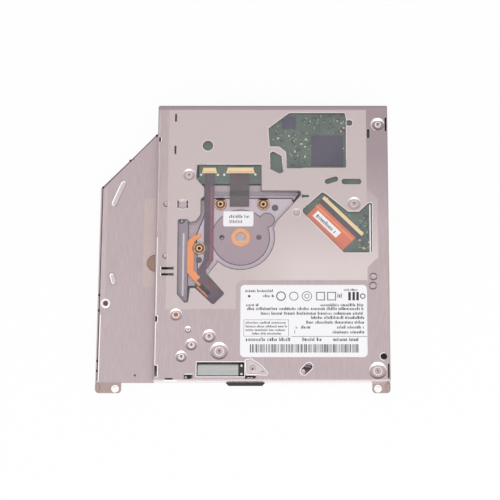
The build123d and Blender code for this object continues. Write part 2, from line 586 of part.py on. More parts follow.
WORM_LEFT = -29.4
WORM_THREAD = (-28.6, -21.2)
WORM_CORE = 1.1
BEARING_BLOCK = (0.6, 0.5, 1.6, 1.4)
with BuildPart() as worm:
    with Locations(Location((WORM_LEFT, MOTOR_AXIS_Y, MOTOR_AXIS_Z), (0, 90, 0))):
        Cylinder(WORM_SHAFT, MOTOR_LEFT + WORM_SOCKET - 4 * SEAT_GAP - WORM_LEFT, align=UPWARD)
    with Locations(Location((WORM_THREAD[0], MOTOR_AXIS_Y, MOTOR_AXIS_Z), (0, 90, 0))):
        Cylinder(WORM_CORE, WORM_THREAD[1] - WORM_THREAD[0], align=UPWARD)
save(worm, "worm")
with BuildPart() as worm_bearing:
    add(box_between(
        (WORM_LEFT - BEARING_BLOCK[0], MOTOR_AXIS_Y - BEARING_BLOCK[2], MOTOR_AXIS_Z - BEARING_BLOCK[3]),
        (WORM_LEFT + BEARING_BLOCK[1], MOTOR_AXIS_Y + BEARING_BLOCK[2], DECK),
    ))
    with Locations(Location((WORM_LEFT, MOTOR_AXIS_Y, MOTOR_AXIS_Z), (0, 90, 0))):
        Cylinder(WORM_SHAFT + RUN_FIT, 2 * WORM_SHAFT, align=UPWARD, mode=Mode.SUBTRACT)
save(worm_bearing, "worm_bearing")

# Gears: trapezoid teeth with generous backlash
WHEEL_LAYER = (6.7, 7.7)
GEAR_LAYER = (5.8, 6.6)
RACK_LAYER = (5.05, 5.7)
CAM_BOSS = 2.2
CAM_BOSS_HEIGHT = 1.4


def meshed_phase(phase, teeth, next_teeth, bearing):
    """Angle of a tooth of the next gear when both gears mesh along the bearing."""
    lead = (phase - bearing) % (360 / teeth)
    return bearing + 180 - lead * teeth / next_teeth + 180 / next_teeth


def gear_ring(teeth, centre, phase, layer):
    """Toothed disc between the two levels of its layer."""
    radius = pitch_radius(teeth)
    with BuildPart() as ring:
        with BuildSketch(Plane.XY.offset(layer[0])):
            with Locations(centre):
                Circle(radius - TOOTH_FOOT * MODULE)
                with PolarLocations(0, teeth, start_angle=phase):
                    with Locations((radius - TOOTH_SEAT * MODULE, 0)):
                        Trapezoid(TOOTH_WIDTH * MODULE, TOOTH_HEIGHT * MODULE, TOOTH_FLANK, rotation=-90)
        extrude(amount=layer[1] - layer[0])
    return ring.part


wheel_phase = IDLER_BEARING
compound_phase = meshed_phase(wheel_phase, WHEEL_PINION_TEETH, COMPOUND_TEETH, COMPOUND_BEARING)
idler_phase = meshed_phase(compound_phase, COMPOUND_TEETH, IDLER_TEETH, IDLER_BEARING)
cam_phase = meshed_phase(idler_phase, IDLER_TEETH, CAM_TEETH, CAM_BEARING)
wheel_ring = gear_ring(WHEEL_TEETH, WHEEL_AT, 0, WHEEL_LAYER)
wheel_pinion = gear_ring(WHEEL_PINION_TEETH, WHEEL_AT, wheel_phase, (GEAR_LAYER[0], WHEEL_LAYER[0]))
with BuildPart() as worm_wheel:
    add([wheel_ring, wheel_pinion])
    with Locations((WHEEL_X, WHEEL_Y, WHEEL_LAYER[0])):
        Cylinder(GEAR_POST + RUN_FIT, HEIGHT, mode=Mode.SUBTRACT)
save(worm_wheel, "worm_wheel")
compound_ring = gear_ring(COMPOUND_TEETH, COMPOUND_AT, compound_phase, GEAR_LAYER)
rack_pinion = gear_ring(RACK_PINION_TEETH, COMPOUND_AT, 180, (RACK_LAYER[0], GEAR_LAYER[0]))
with BuildPart() as compound_gear:
    add([compound_ring, rack_pinion])
    with Locations((COMPOUND_AT[0], COMPOUND_AT[1], GEAR_LAYER[0])):
        Cylinder(GEAR_POST + RUN_FIT, HEIGHT, mode=Mode.SUBTRACT)
save(compound_gear, "compound_gear")
idler_ring = gear_ring(IDLER_TEETH, IDLER_AT, idler_phase, GEAR_LAYER)
with BuildPart() as idler_gear:
    add(idler_ring)
    with Locations((IDLER_AT[0], IDLER_AT[1], GEAR_LAYER[0])):
        Cylinder(GEAR_POST + RUN_FIT, HEIGHT, mode=Mode.SUBTRACT)
save(idler_gear, "idler_gear")
cam_ring = gear_ring(CAM_TEETH, CAM_AT, cam_phase, GEAR_LAYER)
with BuildPart() as cam_gear:
    add(cam_ring)
    with Locations((CAM_AT[0], CAM_AT[1], GEAR_LAYER[0])):
        Cylinder(CAM_BOSS, CAM_BOSS_HEIGHT, align=UPWARD)
        Cylinder(GEAR_POST + RUN_FIT, HEIGHT, mode=Mode.SUBTRACT)
save(cam_gear, "cam_gear")

# Posts that carry the gears and levers, from the deck down
EJECT_PIVOT = (-28.0, 50.0)
LINK_PIVOT = (DIMPLES["lever"][0], DIMPLES["lever"][1])
LEVER_POST = 1.2
LEVER_LOW = 5.0
LEVER_SHEET = 0.7
LINK_LOW = 5.3
LINK_SHEET = 0.8
with BuildPart() as pivot_posts:
    for x, y, radius, low, high in (
        (WHEEL_AT[0], WHEEL_AT[1], GEAR_POST, GEAR_LAYER[0], DECK - DIMPLES["wheel"][4]),
        (COMPOUND_AT[0], COMPOUND_AT[1], GEAR_POST, RACK_LAYER[0], DECK - DIMPLES["compound"][4]),
        (IDLER_AT[0], IDLER_AT[1], GEAR_POST, GEAR_LAYER[0], DECK - DIMPLES["idler"][4]),
        (CAM_AT[0], CAM_AT[1], GEAR_POST, GEAR_LAYER[0], DECK - DIMPLES["cam"][4]),
        (LINK_PIVOT[0], LINK_PIVOT[1], LEVER_POST, LINK_LOW, DECK - DIMPLES["lever"][4]),
        (EJECT_PIVOT[0], EJECT_PIVOT[1], LEVER_POST, LEVER_LOW, DECK),
    ):
        with Locations((x, y, low)):
            Cylinder(radius, high - low, align=UPWARD)
save(pivot_posts, "pivot_posts")

# Main slider with its rack, and the post that guides it
SLIDER_TRAVEL = 6.0
SLIDER_TOP = 8.5
SLIDER_LEFT = -31.4
SLIDER_RIGHT = -24.4
SLIDER_REAR = 17.5
LINK_BAY_FRONT = 4.0
GUIDE_POST = 1.2
POST_AT = (DIMPLES["slider_post"][0], DIMPLES["slider_post"][1])
LINK_PIN = 0.6
LINK_PIN_AT = (-27.5, 9.0)
LINK_PIN_TRAVEL = 1.8
RACK_ROOT = RACK_X - TOOTH_FOOT * MODULE
RACK_BACK = 2.6
RACK_FRONT = -50.0
RACK_REAR = -33.0
RACK_TEETH = range(-1, 10)
RACK_SEAT = 0.25
SLIDER_FRONT = -36.5
SLIDER_NOSE = 3.0
LINK_BAY = (10.0, 2.0)
RACK_PITCH = math.pi * MODULE
with BuildPart() as slider_post:
    with Locations((POST_AT[0], POST_AT[1], RACK_LAYER[0])):
        Cylinder(GUIDE_POST, HEIGHT - 2 * SEAT_GAP - RACK_LAYER[0], align=UPWARD)
save(slider_post, "slider_post")
with BuildPart() as main_slider:
    add(plate(
        [(SLIDER_LEFT, SLIDER_FRONT), (SLIDER_RIGHT - SLIDER_NOSE, SLIDER_FRONT),
         (SLIDER_RIGHT, SLIDER_FRONT + SLIDER_NOSE), (SLIDER_RIGHT, SLIDER_REAR), (SLIDER_LEFT, SLIDER_REAR)],
        RACK_LAYER[0], SLIDER_TOP,
    ))
    add(box_between(
        (RACK_ROOT - RACK_BACK, RACK_FRONT, RACK_LAYER[0]), (RACK_ROOT, RACK_REAR, RACK_LAYER[1])
    ))
    with BuildSketch(Plane.XY.offset(RACK_LAYER[0])):
        for index in RACK_TEETH:
            with Locations((RACK_X - RACK_SEAT * MODULE, COMPOUND_AT[1] + (index + 0.5) * RACK_PITCH)):
                Trapezoid(TOOTH_WIDTH * MODULE, TOOTH_HEIGHT * MODULE, TOOTH_FLANK, rotation=-90)
    extrude(amount=RACK_LAYER[1] - RACK_LAYER[0])
    # Bay for the link lever below the rear end
    with Locations(((SLIDER_LEFT + SLIDER_RIGHT) / 2, (LINK_BAY_FRONT + SLIDER_REAR) / 2, LINK_LOW)):
        Box(LINK_BAY[0], SLIDER_REAR - LINK_BAY_FRONT, LINK_BAY[1], mode=Mode.SUBTRACT)
    # Slots for the guide post and the link pin
    with BuildSketch(Plane.XY.offset(SLIDER_TOP)):
        with Locations(Location((POST_AT[0], POST_AT[1] + SLIDER_TRAVEL / 2, 0), (0, 0, 90))):
            SlotCenterToCenter(SLIDER_TRAVEL, 2 * (GUIDE_POST + SEAT_GAP))
    extrude(amount=-HEIGHT, mode=Mode.SUBTRACT)
    with BuildSketch(Plane.XY.offset(SLIDER_TOP)):
        with Locations(Location(
            (LINK_PIN_AT[0] + LINK_PIN_TRAVEL / 2, LINK_PIN_AT[1] + SLIDER_TRAVEL / 2, 0),
            (0, 0, math.degrees(math.atan2(SLIDER_TRAVEL, LINK_PIN_TRAVEL))),
        )):
            SlotCenterToCenter(math.hypot(SLIDER_TRAVEL, LINK_PIN_TRAVEL), 2 * (LINK_PIN + MESH_GAP))
    extrude(amount=-HEIGHT, mode=Mode.SUBTRACT)
save(main_slider, "main_slider")

# Link lever between the two sliders
SUB_PIN_AT = (-17.0, 21.8)
LINK_PIN_TOP = 8.3
SUB_PIN_TOP = 8.0
LINK_CORNER = 0.8
LINK_OUTLINE = [(-26.8, 32.4), (-22.4, 32.4), (-15.9, 23.2), (-16.1, 20.9), (-18.2, 20.5), (-22.4, 14.6),
                (-25.3, 7.6), (-28.8, 7.4), (-29.4, 10.2)]
with BuildPart() as link_lever:
    add(plate(LINK_OUTLINE, LINK_LOW, LINK_LOW + LINK_SHEET, LINK_CORNER))
    with Locations((LINK_PIVOT[0], LINK_PIVOT[1], LINK_LOW)):
        Cylinder(LEVER_POST + RUN_FIT, HEIGHT, mode=Mode.SUBTRACT)
    for (x, y), top in ((LINK_PIN_AT, LINK_PIN_TOP), (SUB_PIN_AT, SUB_PIN_TOP)):
        with Locations((x, y, LINK_LOW)):
            Cylinder(LINK_PIN, top - LINK_LOW, align=UPWARD)
save(link_lever, "link_lever")

# Sub slider across the front of the board
SUB_FRONT = 20.9
SUB_REAR = 22.8
SUB_LOW = 6.3
SUB_TOP = 8.2
SUB_LEFT = -15.4
SUB_RIGHT = 23.4
SUB_EYE = (1.9, 1.2, 1.8, 2.4)
SUB_SLOT = 0.7
BAND_LENGTH = 9.4
BAND_HEIGHT = 0.2
with BuildPart() as sub_slider:
    add(box_between((SUB_LEFT, SUB_FRONT, SUB_LOW), (SUB_RIGHT, SUB_REAR, SUB_TOP)))
    add(box_between(
        (SUB_PIN_AT[0] - SUB_EYE[0], SUB_PIN_AT[1] - SUB_EYE[1], SUB_LOW),
        (SUB_PIN_AT[0] + SUB_EYE[2], SUB_PIN_AT[1] + SUB_EYE[3], SUB_TOP),
    ))
    with BuildSketch(Plane.XY.offset(SUB_LOW)):
        with Locations(Location((SUB_PIN_AT[0], SUB_PIN_AT[1] + SUB_SLOT / 2, 0), (0, 0, 90))):
            SlotCenterToCenter(SUB_SLOT, 2 * (LINK_PIN + MESH_GAP))
    extrude(amount=HEIGHT - SUB_LOW, mode=Mode.SUBTRACT)
    # Raised band
    add(box_between(
        (SUB_RIGHT - BAND_LENGTH - SHEET, SUB_FRONT + SHEET, SUB_TOP),
        (SUB_RIGHT - SHEET, SUB_REAR - SHEET, SUB_TOP + BAND_HEIGHT),
    ))
save(sub_slider, "sub_slider")

# Traverse: local X runs from the spindle to the lift pivot, local Y across it
TRAVERSE = Plane(origin=(SPINDLE_X, SPINDLE_Y, 0), x_dir=(1, -1, 0), z_dir=(0, 0, 1))
FRAME_LOW = 5.4
FRAME_TOP = 8.3
FRAME_SHEET = 0.6
RIM = 1.2
ROTOR_RADIUS = 12.2
BASE_RADIUS = 12.9
SHAFT = 1.0
SHAFT_Z = 6.3
SHAFT_LOW = 5.0
MAIN_SHAFT_T = 17.8
SIDE_SHAFT_T = -16.5
SHAFT_START = -4.6
SHAFT_END = 63.4
SHAFT_BLOCK = 2.9
SHAFT_BLOCK_HALF = 1.7
SHAFT_BLOCK_LEAD = 0.9
SLED_TRAVEL = 31.0
LEAD_END = 50.0
LEAD_T = -20.4
LEAD_RADIUS = 0.9
PIVOT_PIN = 0.75
PIVOT_Z = 6.6
PIVOT_PIN_ROOT = 15.4
BUSH_HALF_WIDTH = 1.0
BUSH_HALF_LENGTH = 2.0
PICKUP_OPENING = (40.0, 0.5, 48.0, 26.0)
SKEW_SHANK = 1.0
SKEW_HEAD_HEIGHT = 0.65
SKEW_SLOT = (1.8, 0.4, 0.6)
FRAME_OUTLINE = [(-22.3, 3.6), (3.0, 29.0), (6.5, 27.5), (9.5, 24.0), (50.0, 23.0), (60.0, 21.5),
                 (68.0, 16.0), (68.0, -16.0), (60.0, -21.5), (50.0, -23.0), (10.0, -23.0), (4.0, -28.6),
                 (-3.0, -24.0), (-15.0, -12.9)]


def along_traverse(start, end, across, level, radius):
    """Rod along the traverse, from start to end."""
    seat = TRAVERSE.location * Pos(start, across, level) * Rot(0, 90, 0)
    return seat * Cylinder(radius, end - start, align=UPWARD, mode=Mode.PRIVATE)


def across_traverse(position, start, end, level, radius):
    """Rod across the traverse, from start to end."""
    seat = TRAVERSE.location * Pos(position, start, level) * Rot(-90, 0, 0)
    return seat * Cylinder(radius, end - start, align=UPWARD, mode=Mode.PRIVATE)


def traverse_block(low, high):
    """Block in the traverse's own directions."""
    return TRAVERSE.location * box_between(low, high)


with BuildPart() as traverse_frame:
    with BuildSketch(TRAVERSE.offset(FRAME_LOW)):
        with BuildLine():
            Polyline(*FRAME_OUTLINE, close=True)
        make_face()
    extrude(amount=FRAME_TOP - FRAME_LOW)
    with BuildSketch(TRAVERSE.offset(FRAME_LOW)):
        with BuildLine():
            Polyline(*FRAME_OUTLINE, close=True)
        make_face()
        offset(amount=-RIM, mode=Mode.REPLACE)
    extrude(amount=FRAME_TOP - FRAME_SHEET - FRAME_LOW, mode=Mode.SUBTRACT)
    # Rotor hole and pickup opening
    with Locations((SPINDLE_X, SPINDLE_Y, FRAME_TOP)):
        Cylinder(ROTOR_RADIUS + MESH_GAP, 4 * FRAME_SHEET, mode=Mode.SUBTRACT)
    with BuildSketch(TRAVERSE.offset(FRAME_TOP)):
        with Locations(PICKUP_OPENING[:2]):
            RectangleRounded(PICKUP_OPENING[2], PICKUP_OPENING[3], 2 * SHAFT)
    extrude(amount=-2 * FRAME_SHEET, mode=Mode.SUBTRACT)
    # Blocks that hold the shafts and the lead screw
    under = FRAME_TOP - FRAME_SHEET
    for across in (MAIN_SHAFT_T, SIDE_SHAFT_T):
        for start in (SHAFT_START - SHAFT_BLOCK_LEAD, SHAFT_END + SHAFT_BLOCK_LEAD - SHAFT_BLOCK):
            add(traverse_block(
                (start, across - SHAFT_BLOCK_HALF, SHAFT_LOW),
                (start + SHAFT_BLOCK, across + SHAFT_BLOCK_HALF, under),
            ))
    add(traverse_block(
        (LEAD_END - LEAD_RADIUS, LEAD_T - SHAFT_BLOCK_HALF, SHAFT_LOW),
        (LEAD_END + LEAD_RADIUS, LEAD_T + SHAFT_BLOCK_HALF / 2, under),
    ))
    lead_bore = along_traverse(
        LEAD_END - 2 * LEAD_RADIUS, LEAD_END + SEAT_GAP, LEAD_T, SHAFT_Z, LEAD_RADIUS + RUN_FIT
    )
    add(lead_bore, mode=Mode.SUBTRACT)
    for side in (-1, 1):
        ends = sorted((side * PIVOT_PIN_ROOT, side * (PIVOT_SPAN + BUSH_HALF_WIDTH - SEAT_GAP)))
        add(across_traverse(LIFT_PIVOT, ends[0], ends[1], PIVOT_Z, PIVOT_PIN))
    for across in (MAIN_SHAFT_T, SIDE_SHAFT_T):
        add(along_traverse(SHAFT_START, SHAFT_END, across, SHAFT_Z, SHAFT + RUN_FIT / 2), mode=Mode.SUBTRACT)
    for x, y in SKEW_SCREWS:
        with Locations((x, y, FRAME_TOP)):
            Cylinder(SKEW_SHANK + SEAT_GAP, 4 * FRAME_SHEET, mode=Mode.SUBTRACT)
save(traverse_frame, "traverse_frame")

for name, across in (("main_guide_shaft", MAIN_SHAFT_T), ("side_guide_shaft", SIDE_SHAFT_T)):
    with BuildPart() as shaft:
        add(along_traverse(SHAFT_START, SHAFT_END, across, SHAFT_Z, SHAFT))
    save(shaft, name)

with BuildPart() as traverse_bushes:
    for side in (-1, 1):
        add(traverse_block(
            (LIFT_PIVOT - BUSH_HALF_LENGTH, side * PIVOT_SPAN - BUSH_HALF_WIDTH, LEVER_LOW),
            (LIFT_PIVOT + BUSH_HALF_LENGTH, side * PIVOT_SPAN + BUSH_HALF_WIDTH, DECK),
        ))
        bore_start = side * PIVOT_SPAN - 2 * BUSH_HALF_WIDTH
        bore_end = side * PIVOT_SPAN + 2 * BUSH_HALF_WIDTH
        bore = across_traverse(LIFT_PIVOT, bore_start, bore_end, PIVOT_Z, PIVOT_PIN + RUN_FIT)
        add(bore, mode=Mode.SUBTRACT)
save(traverse_bushes, "traverse_bushes")

with BuildPart() as skew_screws:
    for x, y in SKEW_SCREWS:
        with Locations((x, y, FRAME_TOP)):
            Cylinder(SKEW_HEAD, SKEW_HEAD_HEIGHT, align=UPWARD)
            Cylinder(SKEW_SHANK, FRAME_SHEET, align=DOWNWARD)
        with Locations((x, y, FRAME_TOP + SKEW_HEAD_HEIGHT)):
            Box(SKEW_SLOT[0], SKEW_SLOT[1], SKEW_SLOT[2], mode=Mode.SUBTRACT)
            Box(SKEW_SLOT[1], SKEW_SLOT[0], SKEW_SLOT[2], mode=Mode.SUBTRACT)
save(skew_screws, "skew_screws")

# Spindle motor: base, bearing, stator, rotor and clamp head
BASE_SHEET = 0.3
BASE_TOP = FRAME_TOP + BASE_SHEET
BEARING = 2.2
ROTOR_FLOOR = 6.3
ROTOR_SHEET = 0.4
STATOR_LOW = 7.0
STATOR_TOP = 8.1
CLAMP_RADIUS = 7.3
BASE_LOBE = (10.2, 9.4, 3.4)
BASE_HOLES = ((-8.3, 0), (8.0, 0))
BASE_HOLE = 0.85
BEARING_FLANGE = 4.2
BEARING_FLANGE_SHEET = 0.15
SHAFT_SOCKET = 1.6
ROTOR_SKIRT = 0.9
STATOR_HUB = 4.6
CLAMP_LOW = 4.97
CLAMP_EDGE = 0.5
CLAMP_CLAW = (1.2, 2.4, 2.0, 1.0)
MOTOR_LABEL = (-2.5, 10.0, 13.4, 7.0, 0.8)
with BuildPart() as spindle_base:
    with BuildSketch(Plane.XY.offset(FRAME_TOP)):
        with Locations((SPINDLE_X, SPINDLE_Y)):
            Circle(BASE_RADIUS)
        with Locations(BASE_LOBE[:2]):
            Circle(BASE_LOBE[2])
        with Locations((SPINDLE_X, SPINDLE_Y)):
            Circle(BEARING + SEAT_GAP / 2, mode=Mode.SUBTRACT)
            with Locations(*BASE_HOLES):
                Circle(BASE_HOLE, mode=Mode.SUBTRACT)
    extrude(amount=BASE_SHEET)
save(spindle_base, "spindle_base")
with BuildPart() as spindle_bearing:
    with Locations((SPINDLE_X, SPINDLE_Y, STATOR_LOW)):
        Cylinder(BEARING, BASE_TOP - STATOR_LOW, align=UPWARD)
    with Locations((SPINDLE_X, SPINDLE_Y, BASE_TOP)):
        Cylinder(BEARING_FLANGE, BEARING_FLANGE_SHEET, align=UPWARD)
    with Locations((SPINDLE_X, SPINDLE_Y, STATOR_LOW)):
        Cylinder(SHAFT + RUN_FIT, SHAFT_SOCKET, align=UPWARD, mode=Mode.SUBTRACT)
save(spindle_bearing, "spindle_bearing")
STATOR_POLES = 9
POLE_ARM = (7.0, 6.0, 2.2)
POLE_SHOE = (9.6, 1.0, 5.2)
with BuildPart() as spindle_stator:
    with BuildSketch(Plane.XY.offset(STATOR_LOW)):
        with Locations((SPINDLE_X, SPINDLE_Y)):
            Circle(STATOR_HUB)
            with PolarLocations(POLE_ARM[0], STATOR_POLES):
                Rectangle(POLE_ARM[1], POLE_ARM[2])
            with PolarLocations(POLE_SHOE[0], STATOR_POLES):
                Rectangle(POLE_SHOE[1], POLE_SHOE[2])
            Circle(BEARING + SEAT_GAP / 2, mode=Mode.SUBTRACT)
    extrude(amount=STATOR_TOP - STATOR_LOW)
save(spindle_stator, "spindle_stator")
with BuildPart() as rotor_cup:
    with Locations((SPINDLE_X, SPINDLE_Y, ROTOR_FLOOR)):
        Cylinder(ROTOR_RADIUS, STATOR_TOP - ROTOR_FLOOR, align=UPWARD)
    with Locations((SPINDLE_X, SPINDLE_Y, ROTOR_FLOOR + ROTOR_SHEET)):
        Cylinder(ROTOR_RADIUS - ROTOR_SKIRT, HEIGHT, align=UPWARD, mode=Mode.SUBTRACT)
    with Locations((SPINDLE_X, SPINDLE_Y, ROTOR_FLOOR)):
        Cylinder(SHAFT, STATOR_LOW + SHAFT_SOCKET - SEAT_GAP - ROTOR_FLOOR, align=UPWARD)
save(rotor_cup, "rotor_cup")
with BuildPart() as clamp_head:
    with Locations((SPINDLE_X, SPINDLE_Y, CLAMP_LOW)):
        Cylinder(CLAMP_RADIUS, ROTOR_FLOOR - CLAMP_LOW, align=UPWARD)
    chamfer(clamp_head.edges().filter_by(GeomType.CIRCLE).group_by(Axis.Z)[0], CLAMP_EDGE)
    with Locations((SPINDLE_X, SPINDLE_Y, CLAMP_LOW)):
        with PolarLocations(CLAMP_RADIUS - CLAMP_CLAW[0], 3):
            Box(CLAMP_CLAW[1], CLAMP_CLAW[2], CLAMP_CLAW[3], mode=Mode.SUBTRACT)
save(clamp_head, "clamp_head")
with BuildPart() as motor_label:
    with BuildSketch(Plane.XY.offset(BASE_TOP)):
        with Locations(MOTOR_LABEL[:2]):
            RectangleRounded(*MOTOR_LABEL[2:])
    extrude(amount=FILM / 2)
save(motor_label, "motor_label")

# Feed motor and lead screw
FEED_MOTOR = (-1.0, -23.2, 7.5, -17.9)
FEED_MOTOR_EDGE = 0.7
LEAD_START = 5.9
with BuildPart() as feed_motor:
    add(traverse_block(
        (FEED_MOTOR[0], FEED_MOTOR[1], SHAFT_LOW),
        (FEED_MOTOR[2], FEED_MOTOR[3], FRAME_TOP - FRAME_SHEET - SEAT_GAP / 2),
    ))
    fillet(feed_motor.edges().group_by(Axis.Z)[0], FEED_MOTOR_EDGE)
    screw_bore = along_traverse(
        LEAD_START - 2 * SEAT_GAP, FEED_MOTOR[2] + SHEET, LEAD_T, SHAFT_Z, LEAD_RADIUS + RUN_FIT
    )
    add(screw_bore, mode=Mode.SUBTRACT)
save(feed_motor, "feed_motor")
with BuildPart() as lead_screw:
    add(along_traverse(LEAD_START, LEAD_END, LEAD_T, SHAFT_Z, LEAD_RADIUS))
save(lead_screw, "lead_screw")

# Pickup sled on the two shafts
SLED_LOW = 5.1
SLED_TOP = 7.45
LENS_S = 22.8
LENS_RADIUS = 2.1
LENS_HEIGHT = 1.5
LENS_WELL = (9.0, 12.0, 1.0)
SLED_OUTLINE = [(15.4, -9.0), (15.4, 9.5), (17.4, 14.9), (29.0, 14.9), (31.2, 11.0), (31.2, -11.0),
                (28.4, -13.6), (18.4, -13.6)]
MAIN_LUG = (17.4, 14.8, 29.0)
MAIN_LUG_LEVELS = (4.97, 7.6)
MAIN_LUG_HALF = 2.1
SIDE_LUG = (21.0, -19.0, 26.0, -13.5)
SIDE_FORK_END = -15.3
with BuildPart() as pickup_body:
    with BuildSketch(TRAVERSE.offset(SLED_LOW)):
        with BuildLine():
            Polyline(*SLED_OUTLINE, close=True)
        make_face()
    extrude(amount=SLED_TOP - SLED_LOW)
    add(traverse_block(
        (MAIN_LUG[0], MAIN_LUG[1], MAIN_LUG_LEVELS[0]),
        (MAIN_LUG[2], MAIN_SHAFT_T + MAIN_LUG_HALF, MAIN_LUG_LEVELS[1]),
    ))
    add(traverse_block((SIDE_LUG[0], SIDE_LUG[1], SLED_LOW), (SIDE_LUG[2], SIDE_LUG[3], SLED_TOP)))
    # Bore on the main shaft and fork on the side shaft
    add(
        along_traverse(MAIN_LUG[0] - SHAFT, MAIN_LUG[2] + SHAFT, MAIN_SHAFT_T, SHAFT_Z, SHAFT + RUN_FIT),
        mode=Mode.SUBTRACT,
    )
    add(traverse_block(
        (SIDE_LUG[0] - SHAFT, SIDE_LUG[1] - SHAFT, SHAFT_Z - SHAFT - RUN_FIT),
        (SIDE_LUG[2] + SHAFT, SIDE_FORK_END, SHAFT_Z + SHAFT + RUN_FIT),
    ), mode=Mode.SUBTRACT)
    with BuildSketch(TRAVERSE.offset(SLED_LOW)):
        with Locations((LENS_S, 0)):
            RectangleRounded(*LENS_WELL)
    extrude(amount=LENS_HEIGHT, mode=Mode.SUBTRACT)
save(pickup_body, "pickup_body")
with BuildPart() as objective_lens:
    with BuildSketch(TRAVERSE.offset(SLED_LOW)):
        with Locations((LENS_S, 0)):
            Circle(LENS_RADIUS)
    extrude(amount=LENS_HEIGHT)
save(objective_lens, "objective_lens")

# Levers beside the disc bay
BAY_LEVER_LOW = 1.0
BAY_LEVER_TOP = 4.4
FEED_LEVER_X = 1.55 - RIGHT
GUIDE_LEVER_X = RIGHT - 3.0
GUIDE_LEVER_Y = 5.0
FEED_PIN = 0.34
GUIDE_PIN = 0.5
for name, x, y, length, width, post in (
    ("feed_lever", FEED_LEVER_X, 0.0, 50.0, 1.4, FEED_PIN),
    ("guide_lever", GUIDE_LEVER_X, GUIDE_LEVER_Y, 53.0, 2.0, GUIDE_PIN),
):
    with BuildPart() as lever:
        with BuildSketch(Plane.XY.offset(BAY_LEVER_LOW)):
            with Locations(Location((x, y - length / 2, 0), (0, 0, 90))):
                SlotCenterToCenter(length, width)
            with Locations((x, y)):
                Circle(post + RUN_FIT, mode=Mode.SUBTRACT)
        extrude(amount=BAY_LEVER_TOP - BAY_LEVER_LOW)
    save(lever, name)
with BuildPart() as lever_pins:
    with Locations((FEED_LEVER_X, 0, BAY_LEVER_LOW)):
        Cylinder(FEED_PIN, WING_CEILING - BAY_LEVER_LOW, align=UPWARD)
    with Locations((GUIDE_LEVER_X, GUIDE_LEVER_Y, BAY_LEVER_LOW)):
        Cylinder(GUIDE_PIN, DECK - BAY_LEVER_LOW, align=UPWARD)
save(lever_pins, "lever_pins")

EJECT_TIP = (15.5, 61.0)
EJECT_HUB = 3.0
EJECT_PIN = 0.9
EJECT_PIN_END = 1.2
EJECT_EYE = 1.4
EJECT_ROOT_HALF = 2.8
EJECT_TIP_HALF = 1.3
with BuildPart() as eject_lever:
    with BuildSketch(Plane.XY.offset(LEVER_LOW)):
        with Locations(EJECT_PIVOT):
            Circle(EJECT_HUB)
        with Locations(EJECT_TIP):
            Circle(EJECT_EYE)
        with BuildLine():
            Polyline(
                (EJECT_PIVOT[0], EJECT_PIVOT[1] + EJECT_ROOT_HALF),
                (EJECT_TIP[0], EJECT_TIP[1] + EJECT_TIP_HALF),
                (EJECT_TIP[0], EJECT_TIP[1] - EJECT_TIP_HALF),
                (EJECT_PIVOT[0], EJECT_PIVOT[1] - EJECT_ROOT_HALF),
                close=True,
            )
        make_face()
        with Locations(EJECT_PIVOT):
            Circle(LEVER_POST + RUN_FIT, mode=Mode.SUBTRACT)
    extrude(amount=LEVER_SHEET)
    with Locations((EJECT_TIP[0], EJECT_TIP[1], LEVER_LOW)):
        Cylinder(EJECT_PIN, LEVER_LOW - EJECT_PIN_END, align=DOWNWARD)
save(eject_lever, "eject_lever")

# Screws seated in the dimples
DIMPLE_SCREWS = ("compound", "wheel", "idler", "front_right", "rear_right", "board", "lever", "centre_screw",
                 "pair_rear", "pair_front")
SCREW_HEAD = 1.05
SCREW_HEAD_HEIGHT = 0.25
SCREW_SLOT = (1.3, 0.35, 0.3)
with BuildPart() as dimple_screws:
    for key in DIMPLE_SCREWS:
        x, y, rim, floor, depth = DIMPLES[key]
        with Locations((x, y, HEIGHT - depth)):
            Cylinder(SCREW_HEAD, SCREW_HEAD_HEIGHT, align=UPWARD)
        with Locations((x, y, HEIGHT - depth + SCREW_HEAD_HEIGHT)):
            Box(SCREW_SLOT[0], SCREW_SLOT[1], SCREW_SLOT[2], mode=Mode.SUBTRACT)
            Box(SCREW_SLOT[1], SCREW_SLOT[0], SCREW_SLOT[2], mode=Mode.SUBTRACT)
save(dimple_screws, "dimple_screws")
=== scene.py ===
"""Slim slot-loading disc drive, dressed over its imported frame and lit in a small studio."""

import logging
import math
import random
from dataclasses import dataclass, field
from enum import Enum
from typing import Any, Callable, Mapping, NamedTuple, Sequence

import bmesh
import bpy
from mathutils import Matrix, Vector


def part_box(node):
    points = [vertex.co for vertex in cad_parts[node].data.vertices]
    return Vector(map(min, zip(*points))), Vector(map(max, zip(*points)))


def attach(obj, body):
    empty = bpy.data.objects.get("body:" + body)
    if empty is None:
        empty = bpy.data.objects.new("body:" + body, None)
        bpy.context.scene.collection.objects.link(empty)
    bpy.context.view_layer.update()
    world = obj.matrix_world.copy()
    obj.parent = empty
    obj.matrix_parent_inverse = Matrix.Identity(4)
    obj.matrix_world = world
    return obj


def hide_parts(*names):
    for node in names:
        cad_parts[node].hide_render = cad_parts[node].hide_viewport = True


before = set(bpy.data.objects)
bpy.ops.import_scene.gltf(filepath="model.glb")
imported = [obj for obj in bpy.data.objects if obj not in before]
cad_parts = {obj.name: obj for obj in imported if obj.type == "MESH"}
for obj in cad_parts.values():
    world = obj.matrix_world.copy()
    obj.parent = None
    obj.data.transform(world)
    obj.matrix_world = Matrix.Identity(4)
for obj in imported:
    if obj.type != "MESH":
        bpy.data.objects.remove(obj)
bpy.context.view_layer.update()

LOG = logging.getLogger("disc_drive")
MM = 0.001
Point = tuple[float, float]
Row = tuple[float, float, float, float]
Profile = Sequence[Point]
Colour = tuple[float, float, float]
WHITE: Colour = (1.0, 1.0, 1.0)

# Levels of the deck and of the wing, in millimetres
DECK = 9.5
WING = 5.4
# Heights in metres that tell the deck, its flat top and the wing apart
DECK_FROM = 0.0085
FLAT_FROM = 0.0094
WING_UP_TO = 0.0056


